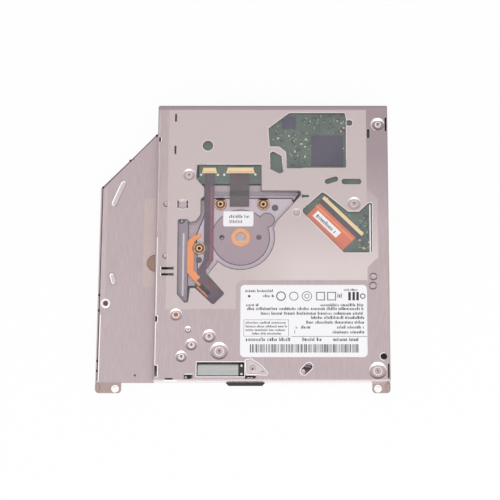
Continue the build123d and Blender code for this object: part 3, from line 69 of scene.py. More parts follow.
class Body(Enum):
    """The moving bodies that a piece can ride on."""

    CHASSIS = "chassis"
    TRAVERSE = "traverse"
    SLIDER = "main_slider"


class Grain(Enum):
    """Direction of the rolling marks on a sheet, as the stretch of its noise."""

    ALONG_DEPTH = (1.0, 0.03, 1.0)
    ALONG_WIDTH = (0.03, 1.0, 1.0)
    NONE = (1.0, 1.0, 1.0)


class Seat(NamedTuple):
    """A pressed seat of the deck: middle, radius of its rim and floor, and depth, in millimetres."""

    x: float
    y: float
    rim: float
    floor: float
    depth: float


OPEN_SEATS = (
    Seat(-22.41, -47.42, 2.6, 1.7, 0.8),
    Seat(-26.7, -52.7, 2.5, 1.6, 0.8),
    Seat(-14.70, -43.61, 2.9, 1.9, 0.8),
    Seat(-10.26, -50.27, 3.9, 2.8, 0.8),
    Seat(58.5, -59.0, 3.8, 2.6, 0.8),
    Seat(59.7, 54.2, 2.9, 1.8, 0.8),
    Seat(-29.3, -34.0, 2.7, 1.9, 0.35),
    Seat(-23.9, -40.7, 1.5, 1.0, 0.3),
)
FILMED_SEATS = (Seat(48.8, 16.9, 3.0, 2.1, 0.55), Seat(-24.6, 30.3, 2.8, 1.9, 0.55))
SMALL_SEATS = (Seat(57.0, -16.8, 1.7, 1.2, 0.3), Seat(56.7, -20.9, 1.8, 1.2, 0.3))
POST_SEAT = OPEN_SEATS[6]
SKEW_SCREWS: Sequence[Point] = ((-10.5, 16.8), (8.5, 16.7), (-19.6, -3.7))


def linear(red: int, green: int, blue: int) -> Colour:
    """Linear colour of an sRGB colour given in 0 to 255."""
    return tuple(
        v / 12.92 if v <= 0.04045 else ((v + 0.055) / 1.055) ** 2.4
        for v in (red / 255, green / 255, blue / 255)
    )


def scaled(colour: Colour, factor: float) -> Colour:
    """The colour made lighter or darker by a factor, up to white."""
    return tuple(min(1.0, c * factor) for c in colour)


def around(centre: Point, radius: float, degrees: float) -> Point:
    """Point at a distance and a bearing from a centre."""
    angle = math.radians(degrees)
    return centre[0] + radius * math.cos(angle), centre[1] + radius * math.sin(angle)


def within(row: Row, x: float, y: float) -> bool:
    """True between a left, front, right and rear edge."""
    left, front, right, rear = row
    return left < x < right and front < y < rear


def top_of(node: str) -> float:
    """Height of a node's highest point, in millimetres."""
    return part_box(node)[1].z / MM


@dataclass(frozen=True)
class FilmArea:
    """Outline of the two films, in millimetres.

    The large film has a flank on its right with two slanted corners, and a notch for the label.
    A slanted corner is given as the sum or the gap of x and y along it. A row is a left, front,
    right and rear edge.
    """

    left: float = -33.9
    right: float = 54.0
    front: float = -31.5
    rear: float = 61.0
    sheet: Row = (-33.9, -31.5, 54.4, 61.0)
    flank_left: float = 54.3
    flank_right: float = 59.2
    flank_front: float = -12.1
    flank_rear: float = 24.2
    flank_sum: float = 78.3
    flank_gap: float = 67.1
    notch_left: float = -3.2
    notch_rear: float = -18.4
    notch_gap: float = 17.3
    strip: Row = (-44.4, -20.4, -38.9, 20.3)


FILM = FilmArea()


@dataclass(frozen=True)
class Signal:
    """A value worked out in a shader, which Python's operators extend.

    Args:
        shader: The node tree that it belongs to.
        socket: The output socket that carries it.
    """

    shader: "Shader"
    socket: bpy.types.NodeSocket

    def _math(self, operation: str, first: "float | Signal", second: "float | Signal") -> "Signal":
        """Signal of one Math node on two values."""
        return self.shader.value("ShaderNodeMath", {"operation": operation}, {0: first, 1: second})

    def __add__(self, other: "float | Signal") -> "Signal":
        """Sum with another value."""
        return self._math("ADD", self, other)

    __radd__ = __add__

    def __sub__(self, other: "float | Signal") -> "Signal":
        """Difference from another value."""
        return self._math("SUBTRACT", self, other)

    def __rsub__(self, other: float) -> "Signal":
        """A number less this signal."""
        return self._math("SUBTRACT", other, self)

    def __mul__(self, other: "float | Signal") -> "Signal":
        """Product with another value."""
        return self._math("MULTIPLY", self, other)

    __rmul__ = __mul__

    def __gt__(self, other: "float | Signal") -> "Signal":
        """1 where this signal is the larger, otherwise 0."""
        return self._math("GREATER_THAN", self, other)

    def __lt__(self, other: "float | Signal") -> "Signal":
        """1 where this signal is the smaller, otherwise 0."""
        return self._math("LESS_THAN", self, other)

    def most(self, other: "float | Signal") -> "Signal":
        """The larger of this and another value."""
        return self._math("MAXIMUM", self, other)

    def zigzag(self, reach: float) -> "Signal":
        """This signal folded to run from 0 to a reach and back again."""
        return self._math("PINGPONG", self, reach)

    def between(self, low: float, high: float, start: float = 0.0, end: float = 1.0) -> "Signal":
        """Clamped line from start at low to end at high.

        Args:
            low: Input at which the result is start.
            high: Input at which the result is end.
            start: First result.
            end: Last result.

        Returns:
            The mapped signal.
        """
        return self.shader.value(
            "ShaderNodeMapRange", {"clamp": True}, {0: self, 1: low, 2: high, 3: start, 4: end}
        )


class Shader:
    """Node tree of a material or a world, with a single way to add a node.

    Args:
        owner: The material or the world.
    """

    def __init__(self, owner: bpy.types.ID) -> None:
        """Starts an empty node tree with its output.

        Args:
            owner: The material or the world.
        """
        owner.use_nodes = True
        self.tree = owner.node_tree
        self.tree.nodes.clear()
        in_world = isinstance(owner, bpy.types.World)
        self.output = self.tree.nodes.new("ShaderNodeOutputWorld" if in_world else "ShaderNodeOutputMaterial")
        self._position: bpy.types.NodeSocket | None = None

    def node(
        self, kind: str, settings: Mapping[str, Any], inputs: Mapping[int | str, Any]
    ) -> bpy.types.Node:
        """Adds a node.

        Args:
            kind: Node type, such as ShaderNodeMath.
            settings: Properties of the node, set first.
            inputs: Values, signals or sockets for its input sockets.

        Returns:
            The new node.
        """
        made = self.tree.nodes.new(kind)
        for key, value in settings.items():
            setattr(made, key, value)
        for key, value in inputs.items():
            source = value.socket if isinstance(value, Signal) else value
            if isinstance(source, bpy.types.NodeSocket):
                self.tree.links.new(source, made.inputs[key])
            else:
                made.inputs[key].default_value = source
        return made

    def value(
        self,
        kind: str,
        settings: Mapping[str, Any],
        inputs: Mapping[int | str, Any],
        output: int | str = 0,
    ) -> Signal:
        """Adds a node and returns one of its outputs as a signal."""
        return Signal(self, self.node(kind, settings, inputs).outputs[output])

    def position(self) -> bpy.types.NodeSocket:
        """Place on the piece in metres, from its own origin."""
        if self._position is None:
            self._position = self.node("ShaderNodeTexCoord", {}, {}).outputs["Object"]
        return self._position

    def stretched(self, stretch: Sequence[float]) -> bpy.types.NodeSocket:
        """Place on the piece, squeezed or stretched per axis."""
        made = self.node(
            "ShaderNodeVectorMath", {"operation": "MULTIPLY"}, {0: self.position(), 1: tuple(stretch)}
        )
        return made.outputs[0]

    def axes(self) -> tuple[Signal, Signal, Signal]:
        """The three coordinates of the place on the piece, in metres."""
        split = self.node("ShaderNodeSeparateXYZ", {}, {0: self.position()})
        return tuple(Signal(self, split.outputs[i]) for i in range(3))

    def plan(self) -> tuple[Signal, Signal, Signal]:
        """The place on the piece as x and y in millimetres and its height in metres."""
        across, along, height = self.axes()
        return across * 1000.0, along * 1000.0, height

    def noise(
        self, scale: float, detail: float = 3.0, stretch: Sequence[float] = Grain.NONE.value
    ) -> Signal:
        """Noise from 0 to 1 at a scale per metre."""
        return self.value(
            "ShaderNodeTexNoise",
            {},
            {"Vector": self.stretched(stretch), "Scale": scale, "Detail": detail, "Roughness": 0.55},
        )

    def cells(self, scale: float, randomness: float = 1.0) -> Signal:
        """Distance to the nearest Voronoi point, at a scale per metre."""
        return self.value(
            "ShaderNodeTexVoronoi",
            {},
            {"Vector": self.position(), "Scale": scale, "Randomness": randomness},
            "Distance",
        )

    def mix(self, factor: "float | Signal", first: Any, second: Any) -> bpy.types.NodeSocket:
        """Colour between two colours.

        Args:
            factor: 0 for the first, 1 for the second.
            first: Colour or colour socket.
            second: Colour or colour socket.

        Returns:
            The mixed colour's socket.
        """
        colours = [c if isinstance(c, bpy.types.NodeSocket) else (*c, 1.0) for c in (first, second)]
        made = self.node(
            "ShaderNodeMix", {"data_type": "RGBA"}, {0: factor, 6: colours[0], 7: colours[1]}
        )
        return made.outputs[2]

    def bump(self, height: Signal, distance: float, strength: float = 1.0) -> bpy.types.NodeSocket:
        """Normal that follows a height from 0 to 1 over a distance in metres."""
        return self.node(
            "ShaderNodeBump", {}, {"Height": height, "Distance": distance, "Strength": strength}
        ).outputs[0]

    def surface(self, inputs: Mapping[str, Any]) -> bpy.types.Node:
        """Adds a principled surface with the given sockets."""
        return self.node("ShaderNodeBsdfPrincipled", {}, inputs)

    def show(self, shader: bpy.types.Node) -> None:
        """Joins a shader to the output."""
        self.tree.links.new(shader.outputs[0], self.output.inputs[0])

    def show_mix(self, factor: "float | Signal", first: bpy.types.Node, second: bpy.types.Node) -> None:
        """Joins a mix of two shaders to the output."""
        self.show(
            self.node("ShaderNodeMixShader", {}, {0: factor, 1: first.outputs[0], 2: second.outputs[0]})
        )


@dataclass(frozen=True)
class Finish:
    """A named surface, which each kind paints in its own way.

    Args:
        name: Name of its material.
    """

    name: str

    def paint(self, shader: Shader) -> None:
        """Builds the surface.

        Args:
            shader: An empty shader.
        """
        raise NotImplementedError

    def material(self) -> bpy.types.Material:
        """Makes the finish.

        Returns:
            Its material.
        """
        made = bpy.data.materials.new(self.name)
        self.paint(Shader(made))
        return made


@dataclass(frozen=True)
class RolledSteel(Finish):
    """Satin sheet steel with fine rolling marks and faint handling marks.

    Args:
        colour: Colour of the bare steel.
        roughness: Its mean roughness.
        metallic: How metallic it looks.
        grain: Direction of its rolling marks.
        grain_scale: Fineness of the marks, per metre.
        contrast: How far the marks stray from the colour.
        filmed: Colour under a film, or None for steel that no film covers.
        painted_light: Painted light: the lighter colour towards the front right of the film.
        shaded: Painted shade: the darker colour of the bare margins beside the film.
        margin_left: Left edge of the right margin, in millimetres.
        margin_fade: Y at which the right margin's painted shade starts and is full.
        painted_light_across: X at which the painted light starts and is full.
        painted_light_along: Y at which it starts and is full.
    """

    colour: Colour
    roughness: float = 0.36
    metallic: float = 0.45
    grain: Grain = Grain.ALONG_DEPTH
    grain_scale: float = 5200.0
    contrast: float = 0.10
    filmed: Colour | None = None
    painted_light: Colour = linear(211, 198, 197)
    shaded: Colour = linear(160, 144, 148)
    margin_left: float = 54.4
    margin_fade: Point = (8.0, 40.0)
    painted_light_across: Point = (0.0, 24.0)
    painted_light_along: Point = (8.0, -12.0)

    def margin_shade_mask(self, shader: Shader) -> Signal:
        """Masks the deck's bare margins, which get painted shade.

        Args:
            shader: The steel's shader.

        Returns:
            1 on the rear margin, rising to 1 along the right one, otherwise 0.
        """
        x, y, height = shader.plan()
        right = y.between(*self.margin_fade) * (x > self.margin_left) * (y < FILM.rear + 0.01)
        return ((y > FILM.rear) + right) * (height > DECK_FROM)

    def painted_light_mask(self, shader: Shader) -> Signal:
        """Masks the front right of the film, where the steel gets painted light.

        Args:
            shader: The steel's shader.

        Returns:
            A value that rises from 0 to 1 towards that corner.
        """
        x, y, _ = shader.plan()
        return x.between(*self.painted_light_across) * y.between(*self.painted_light_along)

    def under_film(self, shader: Shader) -> Signal:
        """Masks the steel under a film, which is painted in a lighter tone.

        Args:
            shader: The steel's shader.

        Returns:
            1 under a film, otherwise 0.
        """
        x, y, height = shader.plan()
        sheet, strip = (
            (x > left) * (x < right) * (y > front) * (y < rear)
            for left, front, right, rear in (FILM.sheet, FILM.strip)
        )
        flank = (x > FILM.flank_left) * (x < FILM.flank_right)
        corners = (x + y < FILM.flank_sum) * (x - y < FILM.flank_gap)
        notch = (x > FILM.notch_left) * (y < FILM.notch_rear) * (x - y > FILM.notch_gap)
        on_deck = (sheet + flank * corners) * (1.0 - notch) * (height > FLAT_FROM)
        return on_deck + strip * (height < WING_UP_TO)

    def paint(self, shader: Shader) -> None:
        """Builds the surface.

        Args:
            shader: An empty shader.
        """
        marks = shader.noise(self.grain_scale, 2.0, self.grain.value)
        cloud = shader.noise(55.0, 3.0)
        smudge = shader.noise(240.0, 4.0)
        dark = scaled(self.colour, 1.0 - self.contrast)
        light = scaled(self.colour, 1.0 + self.contrast)
        tone = shader.mix(marks.between(0.3, 0.7), dark, light)
        tinted = shader.mix(cloud.between(0.35, 0.75, 0.0, 0.06), tone, scaled(self.colour, 0.9))
        if self.filmed is not None:
            # Painted light: under the film the colour turns lighter towards the front right.
            pale = shader.mix(self.painted_light_mask(shader), self.filmed, self.painted_light)
            # Under a film the steel takes its lighter painted tone.
            tinted = shader.mix(self.under_film(shader), tinted, pale)
            # Painted shade: the deck's bare rear and right margins beside the film are darker.
            tinted = shader.mix(self.margin_shade_mask(shader), tinted, self.shaded)
        shader.show(shader.surface({
            "Base Color": tinted,
            "Metallic": self.metallic,
            "Roughness": smudge.between(0.3, 0.7, self.roughness - 0.015, self.roughness + 0.02),
            "Normal": shader.bump(marks, 0.00002, 0.35),
        }))


@dataclass(frozen=True)
class TurnedMetal(Finish):
    """Small turned or plated metal piece, with fine marks and tarnish.

    Args:
        colour: Colour of the clean metal.
        tarnish: Colour of its tarnished spots.
        roughness: Its mean roughness.
        metallic: How metallic it looks.
    """

    colour: Colour
    tarnish: Colour
    roughness: float = 0.28
    metallic: float = 0.95

    def paint(self, shader: Shader) -> None:
        """Builds the surface.

        Args:
            shader: An empty shader.
        """
        spots = shader.noise(900.0, 4.0)
        fine = shader.noise(4200.0, 2.0)
        shader.show(shader.surface({
            "Base Color": shader.mix(spots.between(0.42, 0.75, 0.0, 0.7), self.colour, self.tarnish),
            "Metallic": self.metallic,
            "Roughness": fine.between(0.25, 0.75, self.roughness - 0.08, self.roughness + 0.12),
            "Normal": shader.bump(fine, 0.00002, 0.3),
        }))


@dataclass(frozen=True)
class Moulded(Finish):
    """Moulded plastic or rubber with its fine spark-eroded texture.

    Args:
        colour: Colour of the plastic.
        roughness: Its mean roughness.
        texture: Fineness of the texture, per metre.
        depth: Depth of the texture, in metres.
    """

    colour: Colour
    roughness: float = 0.5
    texture: float = 3000.0
    depth: float = 0.00002

    def paint(self, shader: Shader) -> None:
        """Builds the surface.

        Args:
            shader: An empty shader.
        """
        fine = shader.noise(self.texture, 3.0)
        cloud = shader.noise(180.0, 3.0)
        shade = cloud.between(0.35, 0.8, 0.0, 0.5)
        shader.show(shader.surface({
            "Base Color": shader.mix(shade, self.colour, scaled(self.colour, 0.78)),
            "Roughness": fine.between(0.2, 0.8, self.roughness - 0.07, self.roughness + 0.1),
            "Normal": shader.bump(fine, self.depth, 0.5),
        }))


@dataclass(frozen=True)
class MilkyFilm(Finish):
    """Thin frosted film that shows what lies below it.

    Args:
        colour: Colour of its haze.
        cover: Share of the light that the haze stops.
        roughness: Its mean roughness.
    """

    colour: Colour
    cover: float = 0.036
    roughness: float = 0.32

    def paint(self, shader: Shader) -> None:
        """Builds the surface.

        Args:
            shader: An empty shader.
        """
        haze = shader.noise(70.0, 3.0)
        speck = shader.noise(2600.0, 2.0)
        film = shader.surface({
            "Base Color": shader.mix(speck.between(0.3, 0.7), self.colour, scaled(self.colour, 0.96)),
            "Roughness": speck.between(0.3, 0.7, self.roughness - 0.05, self.roughness + 0.06),
            "Normal": shader.bump(speck, 0.00001, 0.3),
        })
        clear = shader.node("ShaderNodeBsdfTransparent", {}, {"Color": (*WHITE, 1.0)})
        shader.show_mix(haze.between(0.3, 0.7, self.cover - 0.01, self.cover + 0.015), clear, film)


@dataclass(frozen=True)
class BoardMask(Finish):
    """Green solder mask with traces, pads and vias.

    Args:
        mask: Colour of the mask.
        copper: Colour of a trace under it.
        pad: Colour of a tinned pad.
    """

    mask: Colour
    copper: Colour
    pad: Colour

    def paint(self, shader: Shader) -> None:
        """Builds the surface.

        Args:
            shader: An empty shader.
        """
        across, along, _ = shader.axes()
        wander = shader.noise(240.0, 1.0)
        tracks = (across + along * 0.5 + wander * 0.004).zigzag(0.00055)
        fields = shader.cells(160.0)
        zone = shader.noise(75.0, 2.0)
        lines = (tracks < 0.00018) * (zone > 0.5)
        vias = shader.cells(620.0) < 0.16
        pads = (shader.cells(330.0, 0.85) < 0.13) * (fields < 0.42)
        toned = shader.mix(lines * 0.55, self.mask, self.copper)
        drilled = shader.mix(vias * (zone > 0.46), toned, tuple(c * 1.6 + 0.02 for c in self.copper))
        shader.show(shader.surface({
            "Base Color": shader.mix(pads, drilled, self.pad),
            "Metallic": pads * 0.4,
            "Roughness": zone.between(0.3, 0.7, 0.32, 0.42),
            "Coat Weight": 0.3,
            "Normal": shader.bump(lines + pads, 0.00003, 0.6),
        }))


@dataclass(frozen=True)
class FlexFoil(Finish):
    """Polyimide ribbon with parallel copper tracks showing through.

    Args:
        foil: Colour of the foil.
        track: Colour of a track under it.
        bearing: Direction of the tracks, in degrees.
        pitch: Distance from track to track, in metres.
    """

    foil: Colour
    track: Colour
    bearing: float
    pitch: float = 0.0007

    def paint(self, shader: Shader) -> None:
        """Builds the surface.

        Args:
            shader: An empty shader.
        """
        across, along, _ = shader.axes()
        side = math.radians(self.bearing + 90.0)
        offset = across * math.cos(side) + along * math.sin(side) + 1.0
        line = offset.zigzag(self.pitch / 2) < self.pitch * 0.25
        cloud = shader.noise(220.0, 3.0)
        worn = shader.mix(cloud.between(0.35, 0.75, 0.0, 0.35), self.foil, scaled(self.foil, 0.7))
        shader.show(shader.surface({
            "Base Color": shader.mix(line * 0.55, worn, self.track),
            "Roughness": cloud.between(0.3, 0.7, 0.3, 0.42),
            "Normal": shader.bump(line, 0.00002, 0.4),
        }))


@dataclass(frozen=True)
class Paper(Finish):
    """Coated white label stock.

    Args:
        colour: Colour of the paper.
    """

    colour: Colour

    def paint(self, shader: Shader) -> None:
        """Builds the surface.

        Args:
            shader: An empty shader.
        """
        fibre = shader.noise(2400.0, 4.0)
        greyed = scaled(self.colour, 0.95)
        shader.show(shader.surface({
            "Base Color": shader.mix(fibre.between(0.3, 0.8, 0.0, 0.5), self.colour, greyed),
            "Roughness": fibre.between(0.2, 0.8, 0.5, 0.62),
            "Normal": shader.bump(fibre, 0.00001, 0.3),
        }))


@dataclass(frozen=True)
class LensGlass(Finish):
    """Coated lens that lets most light through.

    Args:
        colour: Colour of the glass.
        coating: Colour of its coating.
    """

    colour: Colour
    coating: Colour = (0.35, 0.45, 0.75)

    def paint(self, shader: Shader) -> None:
        """Builds the surface.

        Args:
            shader: An empty shader.
        """
        coating = shader.noise(500.0, 2.0)
        shader.show(shader.surface({
            "Base Color": shader.mix(coating.between(0.3, 0.7), self.colour, self.coating),
            "Roughness": coating.between(0.3, 0.7, 0.04, 0.08),
            "Transmission Weight": 0.8,
            "IOR": 1.5,
        }))


RECIPES: Mapping[str, Finish] = {
    # Through RolledSteel's masks the tray and the wing get painted light under their films, and the tray gets
    # painted shade on its bare margins.
    "tray": RolledSteel("tray_steel", linear(182, 166, 168), filmed=linear(194, 180, 179)),
    "wing": RolledSteel("wing_steel", linear(182, 166, 168), filmed=linear(190, 172, 170)),
    "wing_band": RolledSteel("wing_band_steel", linear(190, 174, 174)),
    # Lighter steel: painted highlights on the step and the slider's ridge, and the lighter wing bar and
    # pocket floor.
    "raised": RolledSteel("raised_steel", linear(200, 190, 193), 0.34),
    "bronze_plate": RolledSteel("bronze_plate", linear(160, 132, 116), 0.45, 0.4),
    "cover": RolledSteel("cover_steel", linear(182, 166, 168)),
    "ear": RolledSteel("ear_steel", linear(172, 152, 146), 0.5, 0.45, Grain.NONE, 2600.0),
    "lever": RolledSteel("lever_steel", linear(178, 172, 176), 0.4, 0.8, Grain.ALONG_WIDTH),
    "frame": RolledSteel("frame_steel", linear(196, 182, 192), 0.5, 0.4, Grain.NONE, 3400.0),
    "base": RolledSteel("base_steel", linear(164, 146, 154), 0.55, 0.3, Grain.NONE, 3400.0),
    "stator": RolledSteel("stator_steel", linear(110, 104, 104), 0.5, 0.8, Grain.NONE, 1800.0),
    "can": RolledSteel("motor_can", linear(178, 180, 178), 0.5, 0.5, Grain.ALONG_WIDTH, 3000.0, 0.05),
    "apron": RolledSteel("apron_steel", linear(176, 160, 168), 0.5, 0.4, Grain.ALONG_WIDTH, 3400.0),
    # Near-white steel, mostly for painted highlights along edges, bends, seat walls and the wing bar; also
    # bright rings and the board's ground strip.
    "bright": RolledSteel("bright_edge", linear(240, 236, 238), 0.3, 0.9, Grain.NONE),
    # Pale steel for painted highlights round the holes, nubs and seats under the film.
    "hole_rim": RolledSteel("pale_rim_highlight", linear(222, 211, 212), 0.34, 0.5, Grain.NONE),
    # Painted shade on the front walls of the seats under the film.
    "film_shade": RolledSteel("filmed_slope_shade", linear(190, 174, 172), 0.4, 0.4, Grain.NONE),
    "pin": TurnedMetal("turned_steel", linear(205, 205, 208), linear(150, 148, 150)),
    "dull_pin": TurnedMetal("dull_pin", linear(182, 168, 174), linear(150, 136, 142), 0.45, 0.5),
    "screw": TurnedMetal("plated_screw", linear(196, 180, 178), linear(130, 112, 104), 0.34, 0.85),
    "bronze": TurnedMetal("bronze_screw", linear(128, 100, 76), linear(70, 46, 32), 0.35),
    "copper": TurnedMetal("copper_post", linear(178, 118, 78), linear(110, 70, 48), 0.4),
    "collar": TurnedMetal("bright_collar", linear(236, 206, 180), linear(190, 150, 120), 0.3),
    "brass": TurnedMetal("bearing_brass", linear(232, 166, 112), linear(190, 124, 78), 0.4, 0.5),
    "rotor": TurnedMetal("rotor_cup", linear(190, 190, 194), linear(150, 150, 155), 0.3),
    "pickup": TurnedMetal("pickup_alloy", linear(128, 128, 132), linear(92, 92, 98), 0.5, 0.7),
    "solder": TurnedMetal("solder", linear(226, 226, 220), linear(170, 170, 160), 0.35, 0.6),
    "pad": TurnedMetal("tinned_pad", linear(150, 172, 150), linear(104, 120, 96), 0.5, 0.4),
    "film": MilkyFilm("milky_film", linear(252, 246, 244)),
    "label": Paper("label_paper", linear(250, 249, 250)),
    "lens": LensGlass("lens_glass", (0.75, 0.85, 0.95)),
    "board": BoardMask("board_mask", linear(68, 88, 78), linear(84, 112, 96), linear(214, 214, 190)),
    "flex_orange": FlexFoil("amber_ribbon", linear(226, 124, 96), linear(206, 96, 70), -45.0),
    "flex_end": FlexFoil("bare_ribbon_end", linear(120, 52, 56), linear(46, 26, 40), -45.0, 0.0012),
    "flex_strip": FlexFoil("amber_strip", linear(250, 156, 88), linear(232, 128, 66), 90.0),
    "flex_dark": FlexFoil("dark_ribbon", linear(78, 66, 84), linear(98, 70, 80), 90.0),
    "flex_spindle": FlexFoil("spindle_ribbon", linear(70, 56, 64), linear(96, 76, 80), 90.0),
    "flex_red": FlexFoil("red_ribbon_edge", linear(136, 84, 100), linear(112, 66, 84), 90.0, 0.0012),
    "rubber": Moulded("black_rubber", linear(44, 42, 43), 0.75, 1800.0, 0.00004),
    "black": Moulded("black_plastic", linear(36, 35, 37), 0.45),
    "chip": Moulded("chip_package", linear(66, 61, 82)),
    "cream": Moulded("cream_connector", linear(246, 218, 170), 0.45),
    # Dark grey plastic for the pickup's latch and the traverse's dots; also painted shade lines along the
    # slider and the spindle's plate.
    "latch": Moulded("dark_latch_and_shade", linear(72, 66, 74), 0.45),
    "acetal": Moulded("white_acetal", linear(232, 228, 218), 0.4),
    "slider": Moulded("grey_slider", linear(150, 138, 148)),
    "arm": Moulded("dark_arm", linear(56, 56, 60), 0.45),
    "ink": Moulded("label_ink", linear(52, 46, 50), 0.6),
    "ink_pale": Moulded("label_ink_pale", linear(128, 120, 126), 0.6),
    # Painted shade: the dark line round the traverse's window and the walls of the small seats.
    "shade": Moulded("shaded_edge", linear(92, 84, 94), 0.6),
    # Painted shade on the front walls of the open seats.
    "pressed_shade": Moulded("pressed_shade", linear(142, 126, 128), 0.6),
    # Dark marks on the seats' screws, on the wing's boss and pip, and in the pocket.
    "dark_mark": Moulded("dark_bronze_mark", linear(96, 70, 66), 0.6),
    # Near black: painted shadow along the traverse's frame, in the ports, behind the rear skew screws, in
    # their crosses and along the wing's edge; also a dark stripe on a ribbon end.
    "void": Moulded("dark_recess", linear(30, 28, 31), 0.9),
}

FINISHED_NODES: Mapping[str, Sequence[str]] = {
    "tray": ("bottom_chassis",),
    "wing": ("wing_panel",),
    "cover": ("top_cover",),
    "ear": ("left_mount_ear", "right_mount_ear"),
    "film": ("insulation_film", "wing_film"),
    "label": ("rating_label", "motor_label", "flex_tag"),
    "rubber": ("front_pad", "traverse_bushes"),
    "board": ("main_board",),
    "chip": ("controller_chip", "driver_chip", "board_components"),
    "cream": ("sled_connector", "spindle_connector", "pickup_connector"),
    "latch": ("pickup_latch",),
    "flex_orange": ("pickup_flex",),
    "flex_strip": ("switch_flex",),
    "flex_dark": ("sled_flex",),
    "flex_spindle": ("spindle_flex",),
    "black": ("host_connector", "motor_cap", "worm_bearing", "clamp_head"),
    "can": ("loading_motor", "feed_motor"),
    "acetal": ("worm", "worm_wheel", "compound_gear", "idler_gear", "cam_gear"),
    "pin": ("pivot_posts", "main_guide_shaft", "side_guide_shaft", "lead_screw", "lever_pins"),
    "copper": ("slider_post",),
    "slider": ("main_slider", "sub_slider"),
    "lever": ("link_lever", "eject_lever"),
    "frame": ("traverse_frame",),
    "bronze": ("skew_screws",),
    "base": ("spindle_base",),
    "brass": ("spindle_bearing",),
    "stator": ("spindle_stator",),
    "rotor": ("rotor_cup",),
    "pickup": ("pickup_body",),
    "lens": ("objective_lens",),
    "arm": ("feed_lever", "guide_lever"),
    "screw": ("dimple_screws",),
}


@dataclass
class Finishes:
    """The drive's materials, each made on first use and shared by its pieces."""

    made: dict[str, bpy.types.Material] = field(default_factory=dict)

    def get(self, key: str) -> bpy.types.Material:
        """Material of a named finish."""
        if key not in self.made:
            self.made[key] = RECIPES[key].material()
        return self.made[key]

    def dress_nodes(self) -> None:
        """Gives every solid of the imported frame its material."""
        for key, names in FINISHED_NODES.items():
            for name in names:
                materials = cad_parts[name].data.materials
                materials.clear()
                materials.append(self.get(key))
                LOG.info("%s is finished as %s", name, key)


